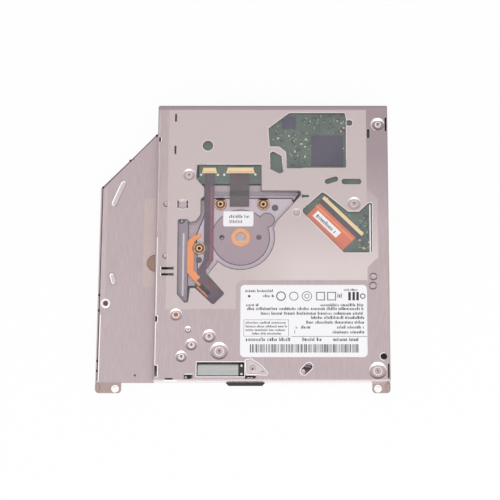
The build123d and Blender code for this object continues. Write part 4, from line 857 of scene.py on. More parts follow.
class Piece:
    """Mesh under construction, in millimetres of the drive's frame.

    Args:
        name: Name of the finished object.
    """

    def __init__(self, name: str) -> None:
        """Starts an empty mesh."""
        self.name = name
        self.mesh = bmesh.new()

    def tube(self, rings: Sequence[Sequence[bmesh.types.BMVert]]) -> None:
        """Joins rings with side faces.

        Args:
            rings: Rings of as many corners each, in order.
        """
        for one, two in zip(rings, rings[1:]):
            for i in range(len(one)):
                j = (i + 1) % len(one)
                self.mesh.faces.new((one[i], one[j], two[j], two[i]))

    def slab(self, corners: Sequence[Point], low: float, high: float) -> None:
        """Adds a flat prism.

        Args:
            corners: Its outline.
            low: Level of its underside.
            high: Level of its top.
        """
        bottom = [self.mesh.verts.new((x, y, low)) for x, y in corners]
        top = [self.mesh.verts.new((x, y, high)) for x, y in corners]
        self.mesh.faces.new(top)
        self.mesh.faces.new(bottom[::-1])
        self.tube((bottom, top))

    def rectangle(self, row: Row, low: float, high: float) -> None:
        """Adds a block.

        Args:
            row: Its left, front, right and rear edge.
            low: Level of its underside.
            high: Level of its top.
        """
        left, front, right, rear = row
        self.slab([(left, front), (right, front), (right, rear), (left, rear)], low, high)

    def strip(self, start: Point, end: Point, width: float, low: float, high: float) -> None:
        """Adds a straight bar with square ends.

        Args:
            start: Middle of one end.
            end: Middle of the other end.
            width: Its width.
            low: Level of its underside.
            high: Level of its top.
        """
        along = Vector((end[0] - start[0], end[1] - start[1]))
        side = Vector((-along.y, along.x)).normalized() * (width / 2)
        corners = [
            (start[0] - side.x, start[1] - side.y),
            (end[0] - side.x, end[1] - side.y),
            (end[0] + side.x, end[1] + side.y),
            (start[0] + side.x, start[1] + side.y),
        ]
        self.slab(corners, low, high)

    def capsule(self, start: Point, end: Point, width: float, low: float, high: float) -> None:
        """Adds a straight bar with round ends.

        Args:
            start: Centre of one end's arc.
            end: Centre of the other end's arc.
            width: Its width.
            low: Level of its underside.
            high: Level of its top.
        """
        along = (Vector(end) - Vector(start)).normalized()
        bearing = math.degrees(math.atan2(along.y, along.x))
        steps = 8
        corners = [
            around(centre, width / 2, bearing + first + 180.0 * step / steps)
            for centre, first in ((end, -90.0), (start, 90.0))
            for step in range(steps + 1)
        ]
        self.slab(corners, low, high)

    def turned(self, centre: Point, base: float, profile: Profile, steps: int = 40) -> None:
        """Adds a form turned about a vertical line.

        Args:
            centre: Place of the line.
            base: Level that the form stands on.
            profile: Radius of each ring and its height over the base, from one end to the other.
            steps: Faces round the form.
        """
        rings = []
        for radius, rise in profile:
            count = steps if radius > 0 else 1
            places = [around(centre, radius, 360.0 * i / steps) for i in range(count)]
            rings.append([self.mesh.verts.new((x, y, base + rise)) for x, y in places])
        for lower, upper in zip(rings, rings[1:]):
            if len(lower) == len(upper):
                self.tube((lower, upper))
                continue
            tip, ring = (lower[0], upper) if len(lower) == 1 else (upper[0], lower)
            for i in range(steps):
                self.mesh.faces.new((ring[i], ring[(i + 1) % steps], tip))

    def finish(
        self,
        body: Body,
        material: bpy.types.Material,
        slot: str,
        replaces: Sequence[str] = (),
        bevel: float = 0.0,
        smooth: bool = False,
    ) -> None:
        """Turns the mesh into an object of the drive.

        Args:
            body: Body that it rides on.
            material: Its finish.
            slot: Not used.
            replaces: CAD nodes that it stands for.
            bevel: Width of the bevel on its sharp edges, in millimetres.
            smooth: True for a rounded form.
        """
        bmesh.ops.recalc_face_normals(self.mesh, faces=self.mesh.faces[:])
        bmesh.ops.scale(self.mesh, vec=(MM, MM, MM), verts=self.mesh.verts[:])
        data = bpy.data.meshes.new(self.name)
        self.mesh.to_mesh(data)
        self.mesh.free()
        if smooth:
            data.shade_smooth()
        made = bpy.data.objects.new(self.name, data)
        bpy.context.scene.collection.objects.link(made)
        data.materials.append(material)
        if bevel > 0:
            rounding = made.modifiers.new("edge", "BEVEL")
            rounding.width = bevel * MM
            rounding.segments = 2
            rounding.limit_method = "ANGLE"
        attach(made, body.value)
        if replaces:
            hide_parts(*replaces)
        LOG.info("%s rides on %s", self.name, body.value)


@dataclass
class Details:
    """A group of small pieces that share the drive's finishes.

    Args:
        finishes: The drive's finishes.
    """

    finishes: Finishes

    def add(self, piece: Piece, finish: str, slot: str, body: Body = Body.CHASSIS, **form: Any) -> None:
        """Turns a piece into an object.

        Args:
            piece: The piece.
            finish: Name of its finish.
            slot: Name of a slot for that finish, passed on to the piece.
            body: Body that it rides on.
            form: Its bevel, its smoothness and the nodes that it replaces.
        """
        piece.finish(body, self.finishes.get(finish), slot, **form)

    def build(self) -> None:
        """Adds the group's pieces."""
        raise NotImplementedError


@dataclass
class Print:
    """Ink marks on a label: rows of plain blocks, rules, frames and rings.

    Args:
        piece: Mesh that receives the marks.
        level: Height of the ink, in millimetres.
        chance: Source of the marks' widths.
        film: Thickness of the ink.
        widths: Widths of a row's blocks, as shares of the row's height.
        heights: Heights of the blocks, as such shares.
        gaps: Gaps between the blocks, as such shares.
        group_gap: What is added between groups, as such a share.
        bar_widths: Widths of the upright bars.
        bar_gaps: Gaps between them.
    """

    piece: Piece
    level: float
    chance: random.Random
    film: float = 0.012
    widths: Sequence[float] = (0.18, 0.24, 0.34)
    heights: Sequence[float] = (0.66, 0.66, 0.74, 1.0)
    gaps: Sequence[float] = (0.14, 0.18, 0.22)
    group_gap: float = 0.45
    bar_widths: Sequence[float] = (0.18, 0.18, 0.32, 0.46)
    bar_gaps: Sequence[float] = (0.2, 0.2, 0.34, 0.5)

    def fill(self, corners: Sequence[Point]) -> None:
        """Adds one patch of ink."""
        self.piece.slab(corners, self.level, self.level + self.film)

    def box(self, left: float, front: float, right: float, rear: float) -> None:
        """Adds a filled box."""
        self.fill([(left, front), (right, front), (right, rear), (left, rear)])

    def block(self, origin: Vector, along: Vector, left: float, width: float, height: float) -> None:
        """Adds one upright block that stands on a row.

        Args:
            origin: Left end of the row's base.
            along: Direction of the row.
            left: Distance of the block from the row's left end.
            width: Width of the block.
            height: Height of the block.
        """
        up = Vector((-along.y, along.x))
        corners = [
            origin + along * x + up * y
            for x, y in ((left, 0.0), (left + width, 0.0), (left + width, height), (left, height))
        ]
        self.fill([(c.x, c.y) for c in corners])

    def row(self, start: Point, end: Point, height: float) -> None:
        """Adds a row of small blocks in groups of uneven length.

        Args:
            start: Left end of the row's base.
            end: Right end of the row's base.
            height: Height of the tallest blocks.
        """
        origin = Vector(start)
        reach = (Vector(end) - origin).length
        along = (Vector(end) - origin).normalized()
        left = 0.0
        group = self.chance.randint(5, 14)
        while left + 0.3 * height < reach:
            width = height * self.chance.choice(self.widths)
            self.block(origin, along, left, width, height * self.chance.choice(self.heights))
            left += width + height * self.chance.choice(self.gaps)
            group -= 1
            if group == 0:
                left += self.group_gap * height
                group = self.chance.randint(5, 16)

    def bars(self, left: float, front: float, right: float, rear: float) -> None:
        """Adds upright bars of uneven widths in a box.

        Args:
            left: Left edge.
            front: Front edge.
            right: Right edge.
            rear: Rear edge.
        """
        x = left
        while x < right:
            width = self.chance.choice(self.bar_widths)
            self.box(x, front, x + width, rear)
            x += width + self.chance.choice(self.bar_gaps)

    def frame(self, left: float, front: float, right: float, rear: float, line: float) -> None:
        """Adds the outline of a box.

        Args:
            left: Left edge.
            front: Front edge.
            right: Right edge.
            rear: Rear edge.
            line: Width of the line.
        """
        self.box(left, front, right, front + line)
        self.box(left, rear - line, right, rear)
        self.box(left, front, left + line, rear)
        self.box(right - line, front, right, rear)

    def ring(self, centre: Point, radius: float, line: float) -> None:
        """Adds a ring.

        Args:
            centre: Its middle.
            radius: Its outer radius.
            line: Width of its line.
        """
        steps = 28
        inner = radius - line
        for i in range(steps):
            start, end = 360.0 * i / steps, 360.0 * (i + 1) / steps
            sides = ((inner, start), (radius, start), (radius, end), (inner, end))
            self.fill([around(centre, reach, degrees) for reach, degrees in sides])


@dataclass
class ThinSheets(Details):
    """Films and the large label, each a hair thinner than its solid.

    Args:
        clearance: What is taken off, in millimetres.
        nearness: How close to a face a corner counts as on it, in metres.
    """

    clearance: float = 0.02
    nearness: float = 0.00001

    def sheet(self, node: str, name: str, finish: str, slot: str, lowered: bool) -> None:
        """Replaces one sheet.

        Args:
            node: Solid that the sheet stands for.
            name: Name of the piece.
            finish: Its finish.
            slot: Name of a slot for that finish, passed on to the piece.
            lowered: True to lower its top, which leaves room for ink. False to raise its underside.
        """
        low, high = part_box(node)
        face = high.z if lowered else low.z
        shift = -self.clearance * MM if lowered else self.clearance * MM
        piece = Piece(name)
        piece.mesh.from_mesh(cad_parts[node].data)
        for vertex in piece.mesh.verts:
            if abs(vertex.co.z - face) < self.nearness:
                vertex.co.z += shift
        bmesh.ops.scale(piece.mesh, vec=(1 / MM, 1 / MM, 1 / MM), verts=piece.mesh.verts[:])
        self.add(piece, finish, slot, replaces=(node,))

    def build(self) -> None:
        """Lays the large label and both films."""
        self.sheet("rating_label", "label_sheet", "label", "label_white", True)
        self.sheet("insulation_film", "mechanism_film", "film", "clear_film", False)
        self.sheet("wing_film", "step_film", "film", "clear_film", False)


Keep = Callable[[float, float], bool]
Run = tuple[tuple[Vector, Vector], tuple[Vector, Vector]]


@dataclass
class EdgeLines(Details):
    """Thin lines along the edges of the solids' flat tops: the pale ones are painted highlights, the dark
    ones painted shade and shadow in the gaps.

    Args:
        thickness: Height of a line, in millimetres.
        part: Length of the parts that a long line is made of.
        nubs: Places of the small round nubs under the film.
        seat_reach: Distance from a seat's middle that still counts as on it.
        rim_reach: Distance from a seat's rim that still counts as on it.
        deck: Box inside the deck's outer edges.
        step: Box round the rear part of the step down to the wing.
        rear_holes: Box round the filmed holes behind the spindle.
        right_holes: Box round the filmed holes right of it.
        opening: Box round the window over the traverse.
        merge: Distance at which two corners count as one, in metres.
        flatness: Distance at which a face counts as part of the flat top, in metres.
    """

    thickness: float = 0.012
    part: float = 3.0
    nubs: Sequence[Point] = ((-27.2, 16.5), (23.2, 12.7), (-34.6, 16.5), (-34.5, -7.5))
    seat_reach: float = 3.4
    rim_reach: float = 0.12
    deck: Row = (-44.5, -62.0, 61.5, 61.0)
    step: Row = (-39.4, 2.0, -38.0, 60.0)
    rear_holes: Row = (-20.0, 34.3, 59.0, 60.9)
    right_holes: Row = (27.0, -7.0, 58.0, 23.0)
    opening: Row = (-32.5, -30.5, 27.5, 34.9)
    merge: float = 0.0000005
    flatness: float = 0.000005

    def runs(self, node: str, top: float, width: float) -> list[Run]:
        """Finds the straight edges of a solid's flat top.

        Args:
            node: The solid.
            top: Height of the flat top, in metres.
            width: Width of the line beside each edge, in millimetres.

        Returns:
            For each edge its two ends, and the two ends of the line's inner side.
        """
        mesh = bmesh.new()
        mesh.from_mesh(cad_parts[node].data)
        bmesh.ops.remove_doubles(mesh, verts=mesh.verts[:], dist=self.merge)
        mesh.normal_update()
        flat = {
            face.index for face in mesh.faces
            if face.normal.z > 0.99 and abs(face.calc_center_median().z - top) < self.flatness
        }
        edges = []
        sides: dict[int, list[Vector]] = {}
        for edge in mesh.edges:
            carriers = [face for face in edge.link_faces if face.index in flat]
            if len(carriers) != 1 or edge.calc_length() < self.merge:
                continue
            start, end = edge.verts
            along = (end.co - start.co).normalized()
            side = Vector((-along.y, along.x, 0.0))
            if side.dot(carriers[0].calc_center_median() - start.co) < 0:
                side.negate()
            edges.append((start, end))
            for vertex in edge.verts:
                sides.setdefault(vertex.index, []).append(side)
        found = []
        for edge in edges:
            outer = []
            inner = []
            for vertex in edge:
                x, y = vertex.co.x / MM, vertex.co.y / MM
                own = sides[vertex.index]
                mean = sum(own, Vector((0.0, 0.0, 0.0)))
                mean = mean.normalized() if mean.length > 0.01 else own[0]
                reach = width / max(0.5, mean.dot(own[0]))
                outer.append(Vector((x, y)))
                inner.append(Vector((x + mean.x * reach, y + mean.y * reach)))
            found.append((tuple(outer), tuple(inner)))
        mesh.free()
        return found

    def trace(
        self,
        name: str,
        node: str,
        finish: tuple[str, str],
        width: float,
        body: Body = Body.CHASSIS,
        level: float | None = None,
        keep: Keep = lambda x, y: True,
    ) -> None:
        """Lays a line along every edge of a solid's flat top.

        Args:
            name: Name of the piece.
            node: Solid whose top is followed.
            finish: Finish of the line and a slot name for it.
            width: Width of the line, in millimetres.
            body: Body that the solid rides on.
            level: Height of the flat top, or None for the solid's highest.
            keep: Says for a place in millimetres whether the line runs there.
        """
        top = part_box(node)[1].z if level is None else level * MM
        piece = Piece(name)
        for outer, inner in self.runs(node, top, width):
            count = max(1, round((outer[1] - outer[0]).length / self.part))
            for i in range(count):
                shares = (i / count, (i + 1) / count)
                near = [tuple(outer[0].lerp(outer[1], share)) for share in shares]
                far = [tuple(inner[0].lerp(inner[1], share)) for share in shares]
                if all(keep(*place) for place in near):
                    piece.slab((*near, *far[::-1]), top / MM, top / MM + self.thickness)
        self.add(piece, *finish, body)

    def on_rim(self, x: float, y: float) -> bool:
        """True on the rim of a pressed seat."""
        seats = (*OPEN_SEATS, *FILMED_SEATS, *SMALL_SEATS)
        return any(abs(math.hypot(x - seat.x, y - seat.y) - seat.rim) < self.rim_reach for seat in seats)

    def on_seat(self, x: float, y: float) -> bool:
        """True on a pressed seat or a nub under the film."""
        places = (*self.nubs, *(seat[:2] for seat in (*FILMED_SEATS, POST_SEAT)))
        return any(math.hypot(x - px, y - py) < self.seat_reach for px, py in places)

    def bare(self, x: float, y: float) -> bool:
        """Says where the deck's painted highlights run.

        Args:
            x: Left to right, in millimetres.
            y: Front to rear, in millimetres.

        Returns:
            True inside the deck's outer edges, outside the film and off the pressed seats' rims.
        """
        beside_flank = x > FILM.right and not FILM.flank_front <= y <= FILM.flank_rear
        filmed = FILM.left < x < FILM.flank_right and FILM.front < y < FILM.rear and not beside_flank
        left_of_step = x < self.step[2] and y > self.step[1]
        return within(self.deck, x, y) and not (self.on_rim(x, y) or left_of_step or filmed)

    def rear_step(self, x: float, y: float) -> bool:
        """True along the rear part of the step down to the wing."""
        return within(self.step, x, y)

    def under_film(self, x: float, y: float) -> bool:
        """True on the holes that the film covers, apart from the traverse's window."""
        on_right = within(self.right_holes, x, y) and not self.on_seat(x, y)
        return on_right or within(self.rear_holes, x, y)

    def round_seat(self, x: float, y: float) -> bool:
        """True on the rim of a nub, which has no crescents."""
        return self.on_seat(x, y) and not self.on_rim(x, y)

    def window(self, x: float, y: float) -> bool:
        """True along the window over the traverse."""
        return within(self.opening, x, y) and not self.on_seat(x, y)

    def build(self) -> None:
        """Lays the deck's painted highlights and its window's painted shade line, and the painted shadow
        lines of the traverse, the slider and the spindle's plate.
        """
        # Pale lines here are painted highlights; the window's dark line is painted shade.
        for name, finish, width, keep in (
            ("deck_highlights", "bright", 0.26, self.bare),
            ("window_shade_line", "shade", 0.3, self.window),
            ("hole_highlights", "hole_rim", 0.34, self.under_film),
            ("seat_highlights", "hole_rim", 0.24, self.round_seat),
            ("step_highlight", "raised", 0.26, self.rear_step),
        ):
            self.trace(name, "bottom_chassis", (finish, "chassis_steel"), width, level=DECK, keep=keep)
        # Dark lines painted as shadow along the traverse's frame, the slider and the spindle's plate.
        self.trace("frame_shadow_lines", "traverse_frame", ("void", "latch_dark"), 0.42, Body.TRAVERSE)
        self.trace("slider_shade_lines", "main_slider", ("latch", "slider_plastic"), 0.4, Body.SLIDER)
        self.trace("base_shadow_lines", "spindle_base", ("latch", "latch_dark"), 0.32, Body.TRAVERSE)


@dataclass
class ScrewDetails(Details):
    """Rings and crosses of the screws, and marks of the pressed seats.

    Args:
        head_rise: Height of a screw's head over the floor of its seat.
        collars: Profiles of the two collars on a skew screw.
        cross_turns: Bearings of a cross's two arms.
        cross_reach: Half the length of an arm.
        pin: Profile of the bearing's pin.
    """

    head_rise: float = 0.25
    collars: Sequence[Profile] = (
        ((1.22, 0.0), (1.22, 0.05), (1.02, 0.02), (0.86, 0.015), (0.86, 0.0)),
        ((2.5, 0.0), (2.5, 0.03), (2.3, 0.03), (2.3, 0.0)),
    )
    cross_turns: tuple[float, float] = (35.0, 125.0)
    cross_reach: float = 0.62
    pin: Profile = ((2.25, 0.0), (2.25, 0.05), (1.5, 0.08), (1.2, 0.04), (0.0, 0.04))

    def skew_heads(self) -> None:
        """Adds the bright collar of each skew screw, and the dark cross that paints the shade in its cross
        recess.
        """
        top = top_of("skew_screws")
        collars = Piece("skew_collars")
        crosses = Piece("skew_crosses")
        for centre in SKEW_SCREWS:
            for profile in self.collars:
                collars.turned(centre, top, profile, 36)
            for turn in self.cross_turns:
                start, end = (around(centre, reach, turn) for reach in (-self.cross_reach, self.cross_reach))
                crosses.strip(start, end, 0.42, top, top + 0.03)
        self.add(collars, "collar", "copper_screw", Body.TRAVERSE)
        self.add(crosses, "void", "black_plastic", Body.TRAVERSE)

    def seat_marks(self) -> None:
        """Adds the dark mark in each pressed seat that holds a screw."""
        marks = Piece("seat_marks")
        for seat in (*OPEN_SEATS, *FILMED_SEATS):
            if seat == POST_SEAT:
                continue
            x, y = seat.x, seat.y
            level = DECK - seat.depth + self.head_rise
            marks.strip((x, y - 0.5), (x, y + 0.35), 0.36, level, level + 0.02)
            marks.strip((x - 0.45, y + 0.45), (x + 0.45, y + 0.45), 0.26, level, level + 0.02)
        self.add(marks, "dark_mark", "black_plastic")

    def hub(self) -> None:
        """Adds the pale pin in the middle of the spindle bearing."""
        low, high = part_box("spindle_bearing")
        centre = ((low.x + high.x) / 2 / MM, (low.y + high.y) / 2 / MM)
        pin = Piece("bearing_pin")
        pin.turned(centre, high.z / MM, self.pin, 48)
        self.add(pin, "dull_pin", "pin_steel", Body.TRAVERSE, smooth=True)

    def build(self) -> None:
        """Adds everything on the screws."""
        self.skew_heads()
        self.seat_marks()
        self.hub()


@dataclass
class WingDetails(Details):
    """Raised bar, oval and boss of the lower wing, its edge and its half-round window.

    Args:
        bars: Start, end and width of the raised bar and of the oval.
        bar_shift: Offset of their tops from their painted highlights, which leaves those on the left and rear
            edges.
        depth: How far raised forms reach into the wing.
        boss: Middle of the boss.
        boss_ring: Profile of the boss.
        boss_pin: Profile of the pin in it.
        pip: Middle of the small pip.
        pip_head: Profile of the pip.
        edge: Line of the painted shade along the wing's outer edge.
        gleam: Line of the painted highlight on its front part.
        notches: Middles of the notches in the edge.
        light_band: Lighter band beside the edge.
        window: Middle and radius of the half-round window.
    """

    bars: Sequence[tuple[Point, Point, float]] = (
        ((-58.0, 18.2), (-54.1, 27.6), 2.3),
        ((-57.3, -18.1), (-58.2, -15.1), 1.9),
    )
    bar_shift: Point = (0.22, -0.2)
    depth: float = 0.3
    boss: Point = (-60.6, -27.8)
    boss_ring: Profile = ((2.1, 0.0), (1.9, 0.12), (1.4, 0.12), (1.25, 0.0), (2.1, 0.0))
    boss_pin: Profile = ((0.95, -0.3), (0.95, 0.04), (0.0, 0.04))
    pip: Point = (-46.9, -60.2)
    pip_head: Profile = ((0.5, -0.3), (0.5, 0.02), (0.0, 0.02))
    edge: Sequence[Point] = ((-63.3, -62.5), (-63.2, 25.3), (-39.1, 51.0))
    gleam: Sequence[Point] = ((-62.8, -63.0), (-62.6, -33.0))
    notches: Sequence[Point] = (
        (-63.6, -24.1), (-63.6, -31.1), (-63.6, -53.8), (-63.6, -58.2),
        (-63.2, 25.7), (-51.4, 38.3), (-39.9, 50.2),
    )
    light_band: Row = (-62.9, -30.0, -60.9, 25.5)
    window: tuple[Point, float] = ((-38.9, -9.5), 4.5)

    def raised(self) -> None:
        """Raises the bar and the oval out of their pockets, with a painted highlight along their left and
        rear edges.
        """
        body = Piece("wing_bar")
        rims = Piece("wing_bar_highlights")
        low = WING - self.depth
        for start, end, width in self.bars:
            rims.capsule(start, end, width, low, WING + 0.05)
            start, end = ((x + self.bar_shift[0], y + self.bar_shift[1]) for x, y in (start, end))
            body.capsule(start, end, width - 0.5, low, WING + 0.09)
        self.add(body, "raised", "wing_steel", bevel=0.12)
        self.add(rims, "bright", "wing_steel", bevel=0.1)

    def bosses(self) -> None:
        """Adds the boss with its pin, and the small pip."""
        ring = Piece("wing_boss")
        ring.turned(self.boss, WING, self.boss_ring, 36)
        self.add(ring, "bright", "wing_steel", smooth=True)
        pin = Piece("wing_boss_pin")
        pin.turned(self.boss, WING, self.boss_pin, 28)
        pin.turned(self.pip, WING, self.pip_head, 20)
        self.add(pin, "dark_mark", "black_plastic")

    def edges(self) -> None:
        """Adds the painted shade along the edge, its notches, the painted highlight in front and the lighter
        band beside it.
        """
        edge = Piece("wing_edge_shade")
        for start, end in zip(self.edge, self.edge[1:]):
            edge.strip(start, end, 0.36, WING, WING + 0.02)
        for x, y in self.notches:
            edge.rectangle((x - 0.3, y - 0.5, x + 0.65, y + 0.5), WING, WING + 0.025)
        self.add(edge, "void", "black_plastic")
        gleam = Piece("wing_gleam")
        gleam.strip(*self.gleam, 0.34, WING, WING + 0.02)
        self.add(gleam, "bright", "wing_steel")
        band = Piece("wing_band")
        band.rectangle(self.light_band, WING, WING + 0.012)
        self.add(band, "wing_band", "wing_steel")

    def half_window(self) -> None:
        """Closes the half-round window with the bronze plate below it."""
        plate = Piece("half_window_plate")
        plate.slab([around(*self.window, degrees) for degrees in range(90, 271, 12)], WING - 0.62, WING - 0.5)
        self.add(plate, "bronze_plate", "wing_steel")

    def build(self) -> None:
        """Adds everything on the wing."""
        self.raised()
        self.bosses()
        self.edges()
        self.half_window()


@dataclass
class DeckDetails(Details):
    """Small features of the deck's front, and the painted shadows behind two skew screws.

    Args:
        ports: Painted shadow in the ports at the front edge.
        tongues: Bright tongues in them.
        pocket: Outline of the fan-shaped pocket.
        pocket_depth: Depth of its floor.
        pocket_screw: Middle of the screw in the pocket.
        pocket_head: Profile of its head.
        pocket_slit: Slit in the pocket's floor.
        bush: Middle of the bush in the slanted slot.
        bush_low: Underside of the bush.
        bush_form: Profile of the bush.
    """

    ports: Sequence[Row] = (
        (-25.4, -62.7, -22.3, -61.0), (1.0, -62.6, 5.0, -61.1), (-33.6, -63.0, -30.2, -62.3),
    )
    tongues: Sequence[Row] = (
        (-25.0, -62.4, -24.1, -61.6), (2.0, -62.4, 3.1, -62.0), (3.4, -62.4, 4.4, -62.0),
    )
    pocket: Sequence[Point] = (
        (2.1, -60.0), (1.7, -54.7), (3.5, -54.3), (7.3, -56.7), (10.3, -60.0), (9.9, -60.5),
    )
    pocket_depth: float = 0.25
    pocket_screw: Point = (4.3, -58.0)
    pocket_head: Profile = ((1.4, 0.0), (1.4, 0.12), (1.0, 0.16), (0.8, 0.06), (0.0, 0.06))
    pocket_slit: Row = (8.1, -59.6, 9.0, -59.2)
    bush: Point = (25.9, -59.4)
    bush_low: float = 9.06
    bush_form: Profile = ((0.0, 0.0), (1.25, 0.0), (1.25, 0.24), (0.95, 0.3), (0.75, 0.24), (0.0, 0.24))

    def patches(self, name: str, rows: Sequence[Row], finish: str, slot: str, rise: float) -> None:
        """Adds thin rectangles on the deck.

        Args:
            name: Name of the piece.
            rows: Left, front, right and rear edge of each.
            finish: Name of their finish.
            slot: Name of a slot for it, passed on to the piece.
            rise: Their thickness.
        """
        piece = Piece(name)
        for row in rows:
            piece.rectangle(row, DECK, DECK + rise)
        self.add(piece, finish, slot)

    def pocket_floor(self) -> None:
        """Adds the bright floor of the fan-shaped pocket with its screw."""
        low = DECK - self.pocket_depth
        floor = Piece("pocket_floor")
        floor.slab(self.pocket, low, low + 0.02)
        self.add(floor, "raised", "chassis_steel")
        screw = Piece("pocket_screw")
        screw.turned(self.pocket_screw, low, self.pocket_head, 36)
        self.add(screw, "screw", "screw_steel", smooth=True)
        marks = Piece("pocket_marks")
        x, y = self.pocket_screw
        marks.rectangle((x - 0.3, y - 0.6, x + 0.3, y + 0.2), low, low + 0.09)
        marks.rectangle(self.pocket_slit, low, low + 0.05)
        self.add(marks, "dark_mark", "black_plastic")

    def screw_shadow_patches(self) -> None:
        """Adds dark patches of painted shadow behind the two rear skew screws."""
        level = top_of("traverse_frame")
        shadow_patches = Piece("skew_shadow_patches")
        for x, y in SKEW_SCREWS[:2]:
            corners = [(x - 2.2, y + 1.9), (x + 2.2, y + 1.9), (x + 1.7, y + 2.75), (x - 1.7, y + 2.75)]
            shadow_patches.slab(corners, level, level + 0.68)
        self.add(shadow_patches, "void", "black_plastic", Body.TRAVERSE)

    def slot_bush(self) -> None:
        """Adds the bush in the slanted slot."""
        bush = Piece("slot_bush")
        bush.turned(self.bush, self.bush_low, self.bush_form, 32)
        self.add(bush, "screw", "screw_steel", smooth=True)

    def build(self) -> None:
        """Adds everything on the deck."""
        self.patches("port_shades", self.ports, "void", "black_plastic", 0.012)
        self.patches("port_tongues", self.tongues, "screw", "screw_steel", 0.03)
        self.pocket_floor()
        self.screw_shadow_patches()
        self.slot_bush()


@dataclass
class PressedSeats(Details):
    """Gleam and shade on the sloped walls of the deck's pressed seats, and the ring in each.

    Args:
        skin: Thickness of a crescent.
        cover: Share of a wall's width that a crescent takes up at its thickest point.
        gleam_sweep: Middle bearing and half sweep of the lit crescent, in degrees.
        shade_sweep: The same for the shaded crescent.
    """

    skin: float = 0.02
    cover: float = 0.85
    gleam_sweep: Point = (92.0, 95.0)
    shade_sweep: Point = (272.0, 82.0)

    def crescent(self, piece: Piece, seat: Seat, middle: float, half: float) -> None:
        """Adds a crescent on a seat's sloped wall.

        Args:
            piece: Mesh that receives it.
            seat: The seat.
            middle: Bearing of its thickest point, in degrees.
            half: Half its sweep, in degrees.
        """
        steps = 18
        wall = seat.rim - seat.floor
        columns = []
        for i in range(steps + 1):
            turn = -half + 2 * half * i / steps
            reach = wall * self.cover * math.cos(math.radians(turn * 90.0 / half)) + 0.02
            column = []
            for inward, rise in ((0.0, 0.0), (0.0, self.skin), (reach, self.skin), (reach, 0.0)):
                x, y = around((seat.x, seat.y), seat.rim - inward, middle + turn)
                column.append(piece.mesh.verts.new((x, y, DECK - seat.depth * inward / wall + rise)))
            columns.append(column)
        piece.tube(columns)
        for column in (columns[0], columns[-1]):
            piece.mesh.faces.new(column)

    def rings(self, name: str, seats: Sequence[Seat], finish: str) -> None:
        """Adds the ring round the screw of each seat.

        Args:
            name: Name of the piece.
            seats: The seats.
            finish: Name of the rings' finish.
        """
        # The rings are raised forms whose pale finish also paints their highlight.
        rings = Piece(name)
        for seat in seats:
            outer = min(seat.floor * 0.72, seat.rim * 0.5)
            section = ((outer, 0.0), (outer, 0.27), (outer - 0.25, 0.29), (outer - 0.3, 0.0))
            rings.turned((seat.x, seat.y), DECK - seat.depth, section, 32)
        self.add(rings, finish, "screw_steel")

    def slopes(self, name: str, seats: Sequence[Seat], lit: str, shaded: str) -> None:
        """Adds both crescents of each seat.

        Args:
            name: Start of the pieces' names.
            seats: The seats.
            lit: Finish of the lit crescents.
            shaded: Finish of the shaded ones.
        """
        # The lit crescents are painted highlights on the rear walls and the shaded ones painted shade on the
        # front walls.
        for part, sweep, finish in (
            ("gleams", self.gleam_sweep, lit), ("shades", self.shade_sweep, shaded),
        ):
            piece = Piece(f"{name}_{part}")
            for seat in seats:
                self.crescent(piece, seat, *sweep)
            self.add(piece, finish, "chassis_steel")

    def build(self) -> None:
        """Adds the open seats, the ones under the film and the small dark pair."""
        self.slopes("seat", OPEN_SEATS, "bright", "pressed_shade")
        self.rings("seat_rings", OPEN_SEATS, "bright")
        self.slopes("filmed_seat", FILMED_SEATS, "hole_rim", "film_shade")
        self.rings("filmed_seat_rings", FILMED_SEATS, "hole_rim")
        self.slopes("small_seat", SMALL_SEATS, "shade", "shade")


@dataclass
class EarDetails(Details):
    """Bright rings round the holes of the mounting ears.

    Args:
        holes: Middles of the holes.
        top: Height of the ears.
        bore: Radius of a hole.
        rim: Outer radius of a ring.
    """

    holes: Sequence[Point] = ((-55.3, -66.2), (58.6, -66.2))
    top: float = 5.8
    bore: float = 1.2
    rim: float = 1.65

    def build(self) -> None:
        """Adds both rings."""
        rim, inner = self.rim, self.bore + 0.02
        section = ((rim, -0.1), (rim, 0.02), (rim - 0.22, 0.04), (inner, 0.02), (inner, -0.1))
        rings = Piece("ear_rings")
        for centre in self.holes:
            rings.turned(centre, self.top, section)
        self.add(rings, "bright", "ear_steel")


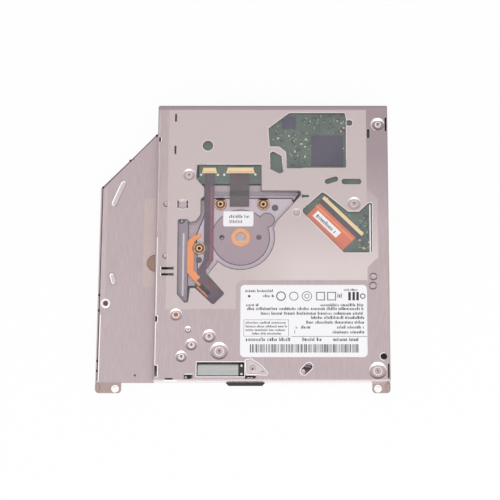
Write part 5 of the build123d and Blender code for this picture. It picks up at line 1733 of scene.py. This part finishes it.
@dataclass
class RearApron(Details):
    """Stepped flange behind the traverse's plate, and the ridge of the slider beside it.

    Args:
        low: Underside of the rear flange.
        high: Top of the rear flange.
        outline: Outline of the rear flange.
        side: Outline of the side flange.
        side_drop: How much lower the side flange lies.
        ridge: Ends of the slider's ridge, whose lighter finish paints its highlight.
        beads: Left end, right end and y of each pressed bead.
    """

    low: float = 7.6
    high: float = 7.8
    outline: Sequence[Point] = (
        (-17.6, 19.2), (22.4, 19.2), (24.2, 22.3), (7.4, 22.3), (7.4, 25.8), (-17.6, 25.8),
    )
    side: Sequence[Point] = (
        (-24.5, 10.2), (-24.5, -20.5), (-21.5, -20.5), (-17.0, -12.0), (-17.0, 19.0), (-20.5, 19.0),
        (-22.5, 10.2),
    )
    side_drop: float = 0.2
    ridge: Sequence[Point] = ((-26.6, -25.0), (-26.6, 3.0))
    beads: Sequence[tuple[float, float, float]] = ((-17.0, 22.0, 20.6), (-17.0, 22.8, 21.9))

    def build(self) -> None:
        """Makes the flanges, the ridge and the pressed beads."""
        for name, outline, drop in (
            ("rear_apron", self.outline, 0.0), ("side_apron", self.side, self.side_drop),
        ):
            flange = Piece(name)
            flange.slab(outline, self.low - drop, self.high - drop)
            self.add(flange, "apron", "frame_steel", Body.TRAVERSE, bevel=0.06)
        # The ridge is raised; its lighter finish paints the highlight along it.
        ridge = Piece("slider_ridge")
        top = top_of("main_slider")
        ridge.capsule(*self.ridge, 0.8, top - 0.1, top + 0.06)
        self.add(ridge, "raised", "slider_plastic", Body.SLIDER, bevel=0.05)
        beads = Piece("rear_apron_beads")
        for left, right, y in self.beads:
            beads.strip((left, y), (right, y), 0.3, self.high, self.high + 0.06)
        self.add(beads, "frame", "frame_steel", Body.TRAVERSE)


@dataclass
class FrontBendHighlight(Details):
    """Painted highlight on the bend of the sheet along the front edge and down the front face.

    Args:
        left: Left end.
        right: Right end.
        front: Y of the front face.
        radius: Radius of the bend.
        skin: How far the piece stands out of the steel.
        depth: How far it reaches into the steel.
        start: Bearing at which it starts, in degrees.
        face_low: Its lower edge on the front face.
    """

    left: float = -38.4
    right: float = 62.5
    front: float = -63.5
    radius: float = 0.75
    skin: float = 0.015
    depth: float = 0.1
    start: float = 128.0
    face_low: float = 5.3

    def section(self, piece: Piece, x: float, reach: float) -> list[bmesh.types.BMVert]:
        """Adds the corners of one side of the skin.

        Args:
            piece: Mesh that receives them.
            x: Place along the bend.
            reach: Distance from the bend's axis.

        Returns:
            The corners, from the top of the bend down the front face.
        """
        steps = 8
        axis = (self.front + self.radius, DECK - self.radius)
        sweep = 180.0 - self.start
        places = [around(axis, reach, self.start + sweep * i / steps) for i in range(steps + 1)]
        places.append((axis[0] - reach, self.face_low))
        return [piece.mesh.verts.new((x, y, z)) for y, z in places]

    def build(self) -> None:
        """Wraps a thin bright skin round the bend and down the front face, as a painted highlight."""
        piece = Piece("front_bend_highlight")
        ends = []
        for x in (self.left, self.right):
            outer = self.section(piece, x, self.radius + self.skin)
            inner = self.section(piece, x, self.radius - self.depth)
            ends.append(outer + inner[::-1])
        for end in ends:
            piece.mesh.faces.new(end)
        piece.tube(ends)
        self.add(piece, "bright", "chassis_steel")


@dataclass
class Labels(Details):
    """Plain marks on the white labels.

    Args:
        bars: Box of the upright bars.
        notice: Outline of the framed box.
        rule: The long rule.
        rows: Left end, right end, base and height of each row of blocks.
        motor_rows: The same on the motor's label.
        tag_centre: Middle of the tag on the wide ribbon.
        tag_row: Length of the tag's row, and how far it starts before and below the middle.
        boldness: Factor on the rows' heights.
        recess: How far the ink lies below the label's solid.
        sign_row: Y of the row of rings and squares.
        rings: X, radius and line of each ring.
        squares: X and half width of each square.
        uprights: Boxes of the three broad bars.
    """

    bars: Row = (3.1, -51.0, 50.4, -47.3)
    notice: Row = (0.3, -43.8, 19.9, -36.3)
    rule: Row = (20.9, -43.9, 54.0, -43.72)
    rows: Sequence[Row] = (
        (1.3, 21.2, -45.9, 1.35), (25.8, 34.7, -45.9, 1.35), (39.3, 50.3, -45.9, 1.35),
        (39.0, 52.7, -42.5, 1.15), (22.4, 23.3, -42.5, 1.1), (41.0, 52.7, -40.3, 1.15),
        (25.2, 29.6, -40.3, 1.15), (22.9, 23.8, -40.3, 1.1), (27.5, 52.7, -38.1, 1.15),
        (29.6, 52.7, -36.0, 1.15), (7.7, 52.7, -34.1, 1.15), (1.7, 52.7, -32.0, 1.15),
        (33.8, 52.7, -30.3, 1.1), (1.3, 7.2, -30.3, 1.1), (8.6, 13.6, -26.2, 1.1),
        (41.2, 43.4, -26.4, 1.6), (0.9, 13.1, -23.9, 1.1), (44.0, 50.3, -23.3, 0.9),
        (1.1, 19.2, -38.1, 0.85), (1.1, 19.2, -39.8, 0.85), (1.1, 19.2, -41.4, 0.85),
        (4.0, 16.8, -43.0, 0.85),
    )
    motor_rows: Sequence[Row] = ((-6.6, 2.6, 10.4, 1.5), (-6.4, -0.6, 8.0, 1.4))
    tag_centre: Point = (36.66, 7.56)
    tag_row: tuple[float, float, float] = (11.8, 6.0, 0.9)
    boldness: float = 1.18
    recess: float = 0.02
    sign_row: float = -25.7
    rings: Sequence[tuple[float, float, float]] = (
        (2.6, 0.55, 0.5), (16.5, 2.1, 0.42), (22.1, 2.0, 0.3),
        (27.8, 2.2, 0.26), (27.8, 1.1, 0.26), (52.2, 1.2, 0.4),
    )
    squares: Sequence[Point] = ((33.8, 1.9), (38.6, 1.9))
    uprights: Sequence[Row] = (
        (45.9, -27.6, 47.0, -23.8), (47.7, -27.6, 48.8, -23.8), (49.4, -27.6, 50.5, -23.8),
    )

    def print_large(self) -> None:
        """Prints the rows, the bars and the framed box of the large label."""
        ink = Print(Piece("rating_print"), top_of("rating_label") - self.recess, random.Random(11))
        ink.bars(*self.bars)
        ink.frame(*self.notice, 0.14)
        ink.box(*self.rule)
        for left, right, base, height in self.rows:
            ink.row((left, base), (right, base), height * self.boldness)
        self.add(ink.piece, "ink", "black_plastic")

    def print_signs(self) -> None:
        """Prints the row of plain rings, squares and broad bars."""
        signs = Print(Piece("rating_signs"), top_of("rating_label") - self.recess, random.Random(5))
        y = self.sign_row
        for x, radius, line in self.rings:
            signs.ring((x, y), radius, line)
        for x, half in self.squares:
            signs.frame(x - half, y - half, x + half, y + half, 0.34)
        for upright in self.uprights:
            signs.box(*upright)
        self.add(signs.piece, "ink", "black_plastic")

    def print_motor(self) -> None:
        """Prints the motor's label."""
        ink = Print(Piece("motor_label_print"), top_of("motor_label"), random.Random(3))
        for left, right, base, height in self.motor_rows:
            ink.row((left, base), (right, base), height)
        self.add(ink.piece, "ink_pale", "black_plastic", Body.TRAVERSE)

    def print_tag(self) -> None:
        """Prints one row along the tag on the wide ribbon."""
        tag = Print(Piece("flex_tag_print"), top_of("flex_tag"), random.Random(9))
        along = Vector((math.sqrt(0.5), -math.sqrt(0.5)))
        across = Vector((math.sqrt(0.5), math.sqrt(0.5)))
        length, back, down = self.tag_row
        start = Vector(self.tag_centre) - along * back - across * down
        tag.row(tuple(start), tuple(start + along * length), 1.9)
        self.add(tag.piece, "ink", "black_plastic")

    def build(self) -> None:
        """Prints every label."""
        self.print_large()
        self.print_signs()
        self.print_motor()
        self.print_tag()


class Scatter(NamedTuple):
    """One kind of small part on the board: its name, finish, slot, number, sizes and seed."""

    name: str
    finish: str
    slot: str
    count: int
    sizes: Sequence[Point]
    seed: int


@dataclass
class BoardDetails(Details):
    """Small parts, contacts and solder on the board under the film.

    Args:
        windows: Where small parts lie.
        kinds: The kinds of small parts.
        anchors: Middles of the solder domes.
        dome: Profile of a solder dome.
        contacts: Left end, right end and y of each row of contacts.
        pitch: Distance between contacts.
        strip: Box of the ground strip.
    """

    windows: Sequence[Row] = (
        (11.8, 44.5, 28.0, 58.6), (19.8, 34.6, 29.4, 50.0), (30.5, 50.2, 44.4, 58.8),
        (50.5, -4.6, 55.2, 12.0),
    )
    kinds: Sequence[Scatter] = (
        Scatter("board_pads", "pad", "pin_steel", 70, ((0.5, 0.4), (0.7, 0.5), (0.4, 0.35)), 21),
        Scatter("board_resistors", "chip", "chip_black", 46, ((1.0, 0.5), (1.3, 0.7)), 22),
        Scatter("board_capacitors", "cream", "connector_cream", 18, ((1.0, 0.5), (0.8, 0.45)), 23),
    )
    anchors: Sequence[Point] = ((-19.4, 30.7), (-11.8, 30.7), (-9.0, 30.8), (4.9, 30.8))
    dome: Profile = ((0.62, 0.0), (0.58, 0.14), (0.36, 0.3), (0.0, 0.36))
    contacts: Sequence[tuple[float, float, float]] = ((-18.3, -12.8, 33.1), (-7.3, 3.9, 33.1))
    pitch: float = 0.5
    strip: Row = (55.5, -5.6, 56.05, 16.8)

    @staticmethod
    def on_chip(x: float, y: float) -> bool:
        """Keeps the chips free of small parts.

        Args:
            x: Left to right, in millimetres.
            y: Front to rear, in millimetres.

        Returns:
            True on a chip or within a millimetre of it.
        """
        boxes = (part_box(node) for node in ("controller_chip", "driver_chip"))
        return any(
            within((low.x / MM - 1, low.y / MM - 1, high.x / MM + 1, high.y / MM + 1), x, y)
            for low, high in boxes
        )

    def small_parts(self, kind: Scatter) -> None:
        """Scatters small square parts of one kind in the windows.

        Args:
            kind: The kind.
        """
        chance = random.Random(kind.seed)
        top = top_of("main_board")
        piece = Piece(kind.name)
        for _ in range(kind.count):
            left, front, right, rear = chance.choice(self.windows)
            x, y = chance.uniform(left, right), chance.uniform(front, rear)
            if self.on_chip(x, y):
                continue
            length, width = chance.choice(kind.sizes)
            if chance.random() < 0.5:
                length, width = width, length
            piece.rectangle((x, y, x + length, y + width), top, top + chance.uniform(0.12, 0.3))
        self.add(piece, kind.finish, kind.slot)

    def solder(self) -> None:
        """Adds the solder domes beside the connectors."""
        domes = Piece("solder_domes")
        for centre in self.anchors:
            domes.turned(centre, top_of("main_board"), self.dome, 20)
        self.add(domes, "solder", "pin_steel", smooth=True)

    def contact_rows(self) -> None:
        """Adds the rows of contacts on the connectors."""
        high = top_of("sled_connector")
        rows = Piece("contact_rows")
        for left, right, y in self.contacts:
            x = left
            while x < right:
                rows.rectangle((x, y - 1.55, x + 0.24, y - 0.9), high, high + 0.03)
                x += self.pitch
        self.add(rows, "brass", "bearing_brass")

    def edge_strip(self) -> None:
        """Adds the bright ground strip along the board's right edge."""
        top = top_of("main_board")
        piece = Piece("ground_strip")
        piece.rectangle(self.strip, top, top + 0.25)
        self.add(piece, "bright", "chassis_steel", bevel=0.05)

    def build(self) -> None:
        """Adds everything on the board."""
        for kind in self.kinds:
            self.small_parts(kind)
        self.solder()
        self.contact_rows()
        self.edge_strip()


class Stripe(NamedTuple):
    """A straight stripe on a ribbon: its name, finish, ribbon, ends, width and rise."""

    name: str
    finish: str
    ribbon: str
    start: Point
    end: Point
    width: float
    rise: float


@dataclass
class RibbonDetails(Details):
    """Bands, edges and bare ends of the ribbons.

    Args:
        lift: Thickness of the band and of the red edge.
        band: Box of the dark band across the spindle's ribbon.
        red_edge: Line of the red edge of the sled's ribbon.
        stripes: The straight stripes.
    """

    lift: float = 0.015
    band: Row = (-6.4, 20.6, 2.2, 23.1)
    red_edge: Sequence[Point] = ((-14.3, 25.2), (-14.3, -8.8), (-16.4, -12.6))
    stripes: Sequence[Stripe] = (
        Stripe("ribbon_bright_edge", "flex_strip", "pickup_flex", (32.0, 16.3), (48.0, 0.4), 0.8, 0.02),
        Stripe("ribbon_end_cover", "flex_dark", "switch_flex", (-19.3, -17.3), (-14.2, -22.4), 3.4, 0.015),
        Stripe("ribbon_end_dark", "void", "switch_flex", (-18.9, -20.5), (-14.9, -24.5), 1.8, 0.035),
        Stripe("ribbon_end_red", "flex_end", "switch_flex", (-16.6, -18.4), (-12.4, -22.6), 1.7, 0.035),
        Stripe("ribbon_end_amber", "flex_orange", "switch_flex", (-20.3, -21.2), (-15.7, -25.8), 0.7, 0.035),
    )

    def build(self) -> None:
        """Adds the band, the red edge and the stripes."""
        level = top_of("spindle_flex")
        band = Piece("ribbon_band")
        band.rectangle(self.band, level, level + self.lift)
        self.add(band, "black", "black_plastic")
        level = top_of("sled_flex")
        edge = Piece("ribbon_red_edge")
        for start, end in zip(self.red_edge, self.red_edge[1:]):
            edge.strip(start, end, 1.5, level, level + self.lift)
        self.add(edge, "flex_red", "flex_dark")
        for stripe in self.stripes:
            level = top_of(stripe.ribbon)
            piece = Piece(stripe.name)
            piece.strip(stripe.start, stripe.end, stripe.width, level, level + stripe.rise)
            self.add(piece, stripe.finish, "flex_dark")


@dataclass
class MotorDetails(Details):
    """Terminals of the loading motor and dark dots of the traverse plate.

    Args:
        terminals: Middles of the terminals.
        terminal: Profile of a terminal.
        dots: Middle and radius of each dot.
    """

    terminals: Sequence[Point] = ((-0.5, -56.6), (-0.5, -60.3))
    terminal: Profile = ((0.55, 0.0), (0.55, 0.05), (0.3, 0.12), (0.0, 0.12))
    dots: Sequence[tuple[Point, float]] = (((13.7, 15.2), 1.5), ((-19.7, -8.9), 1.4))

    def build(self) -> None:
        """Adds the terminals and the dark dots."""
        ends = Piece("motor_terminals")
        for centre in self.terminals:
            ends.turned(centre, top_of("motor_cap"), self.terminal, 24)
        self.add(ends, "solder", "pin_steel", smooth=True)
        dots = Piece("traverse_dots")
        for centre, radius in self.dots:
            dots.turned(centre, top_of("traverse_frame"), ((radius, 0.0), (radius, 0.03), (0.0, 0.03)), 32)
        self.add(dots, "latch", "latch_dark", Body.TRAVERSE)


class Lamp(NamedTuple):
    """A square softbox that faces the drive: its name, place in metres, side and power in watts."""

    name: str
    place: tuple[float, float, float]
    size: float
    power: float


@dataclass
class Studio:
    """White floor, soft lamps and the camera over the drive.

    Args:
        floor_size: Side of the floor, in metres.
        floor_paint: Colour of the floor as the lamps see it.
        floor_gap: How far the floor lies below the drive, in metres.
        lamps: The softboxes.
        air: Colour of the even light round the drive.
        air_strength: Strength of that light.
        focal: Focal length, in millimetres.
        sensor: Width of the sensor, in millimetres.
        tilt: Tilt of the camera from straight down, in degrees.
        place: Place of the camera, in millimetres.
        shift: Sideways shift of its picture.
        clip: Nearest and farthest distance that it sees, in metres.
    """

    floor_size: float = 6.0
    floor_paint: Colour = (0.92, 0.92, 0.92)
    floor_gap: float = 0.00002
    lamps: Sequence[Lamp] = (
        Lamp("front_softbox", (0.1, -1.05, 0.7), 1.7, 17.0),
        Lamp("top_softbox", (-0.1, 0.15, 1.3), 0.7, 0.8),
    )
    air: Colour = (0.98, 0.97, 1.0)
    air_strength: float = 0.55
    focal: float = 139.33
    sensor: float = 36.0
    tilt: float = 16.434
    place: tuple[float, float, float] = (25.324, -245.617, 826.430)
    shift: float = -0.10244
    clip: tuple[float, float] = (0.01, 20.0)

    @staticmethod
    def seen(shader: Shader) -> Signal:
        """Tells what is looked at from what only lights the drive.

        Args:
            shader: Shader of the floor or the air.

        Returns:
            1 for what the lens, a gleam or a clear film shows, otherwise 0.
        """
        paths = shader.node("ShaderNodeLightPath", {}, {})
        direct, gleam, through = (
            Signal(shader, paths.outputs[name])
            for name in ("Is Camera Ray", "Is Glossy Ray", "Is Transmission Ray")
        )
        return direct.most(gleam).most(through)

    def floor(self) -> None:
        """Lays the white floor under the drive."""
        material = bpy.data.materials.new("studio_floor")
        shader = Shader(material)
        paint = shader.surface({"Base Color": (*self.floor_paint, 1.0), "Roughness": 0.9})
        glow = shader.node("ShaderNodeEmission", {}, {"Color": (*WHITE, 1.0), "Strength": 1.0})
        shader.show_mix(self.seen(shader) * 0.95, paint, glow)
        half = self.floor_size / 2
        corners = [(-half, -half, 0), (half, -half, 0), (half, half, 0), (-half, half, 0)]
        data = bpy.data.meshes.new("floor")
        data.from_pydata(corners, [], [(0, 1, 2, 3)])
        data.materials.append(material)
        made = bpy.data.objects.new("floor", data)
        made.location.z = -self.floor_gap
        bpy.context.scene.collection.objects.link(made)

    def light(self, lamp: Lamp) -> None:
        """Adds one softbox.

        Args:
            lamp: The softbox.
        """
        data = bpy.data.lights.new(lamp.name, "AREA")
        data.size = lamp.size
        data.energy = lamp.power
        made = bpy.data.objects.new(lamp.name, data)
        made.location = lamp.place
        made.rotation_euler = (-Vector(lamp.place)).to_track_quat("-Z", "Y").to_euler()
        bpy.context.scene.collection.objects.link(made)

    def world(self) -> None:
        """Fills the room with even pale light that the camera sees as white."""
        made = bpy.data.worlds.new("studio_air")
        shader = Shader(made)
        soft, white = (
            shader.node("ShaderNodeBackground", {}, {"Color": (*colour, 1.0), "Strength": strength})
            for colour, strength in ((self.air, self.air_strength), (WHITE, 1.0))
        )
        shader.show_mix(self.seen(shader), soft, white)
        bpy.context.scene.world = made

    def camera(self) -> None:
        """Sets the camera over the drive, tilted a little from straight down."""
        data = bpy.data.cameras.new("camera")
        data.sensor_width = self.sensor
        data.lens = self.focal
        data.shift_x = self.shift
        data.clip_start, data.clip_end = self.clip
        made = bpy.data.objects.new("camera", data)
        made.location = tuple(v * MM for v in self.place)
        made.rotation_euler = (math.radians(self.tilt), 0.0, 0.0)
        bpy.context.scene.collection.objects.link(made)
        bpy.context.scene.camera = made

    def build(self) -> None:
        """Sets up floor, lamps, air and camera."""
        self.floor()
        for lamp in self.lamps:
            self.light(lamp)
        self.world()
        self.camera()
        bpy.context.scene.view_settings.view_transform = "Standard"


GROUPS: Sequence[type[Details]] = (
    ThinSheets,
    EdgeLines,
    ScrewDetails,
    WingDetails,
    DeckDetails,
    PressedSeats,
    EarDetails,
    RearApron,
    FrontBendHighlight,
    Labels,
    BoardDetails,
    RibbonDetails,
    MotorDetails,
)


def main() -> None:
    """Dresses the drive and sets up the studio."""
    finishes = Finishes()
    finishes.dress_nodes()
    for group in GROUPS:
        group(finishes).build()
    Studio().build()


if __name__ == "__main__":
    logging.basicConfig(level=logging.INFO, format="%(message)s")
    main()
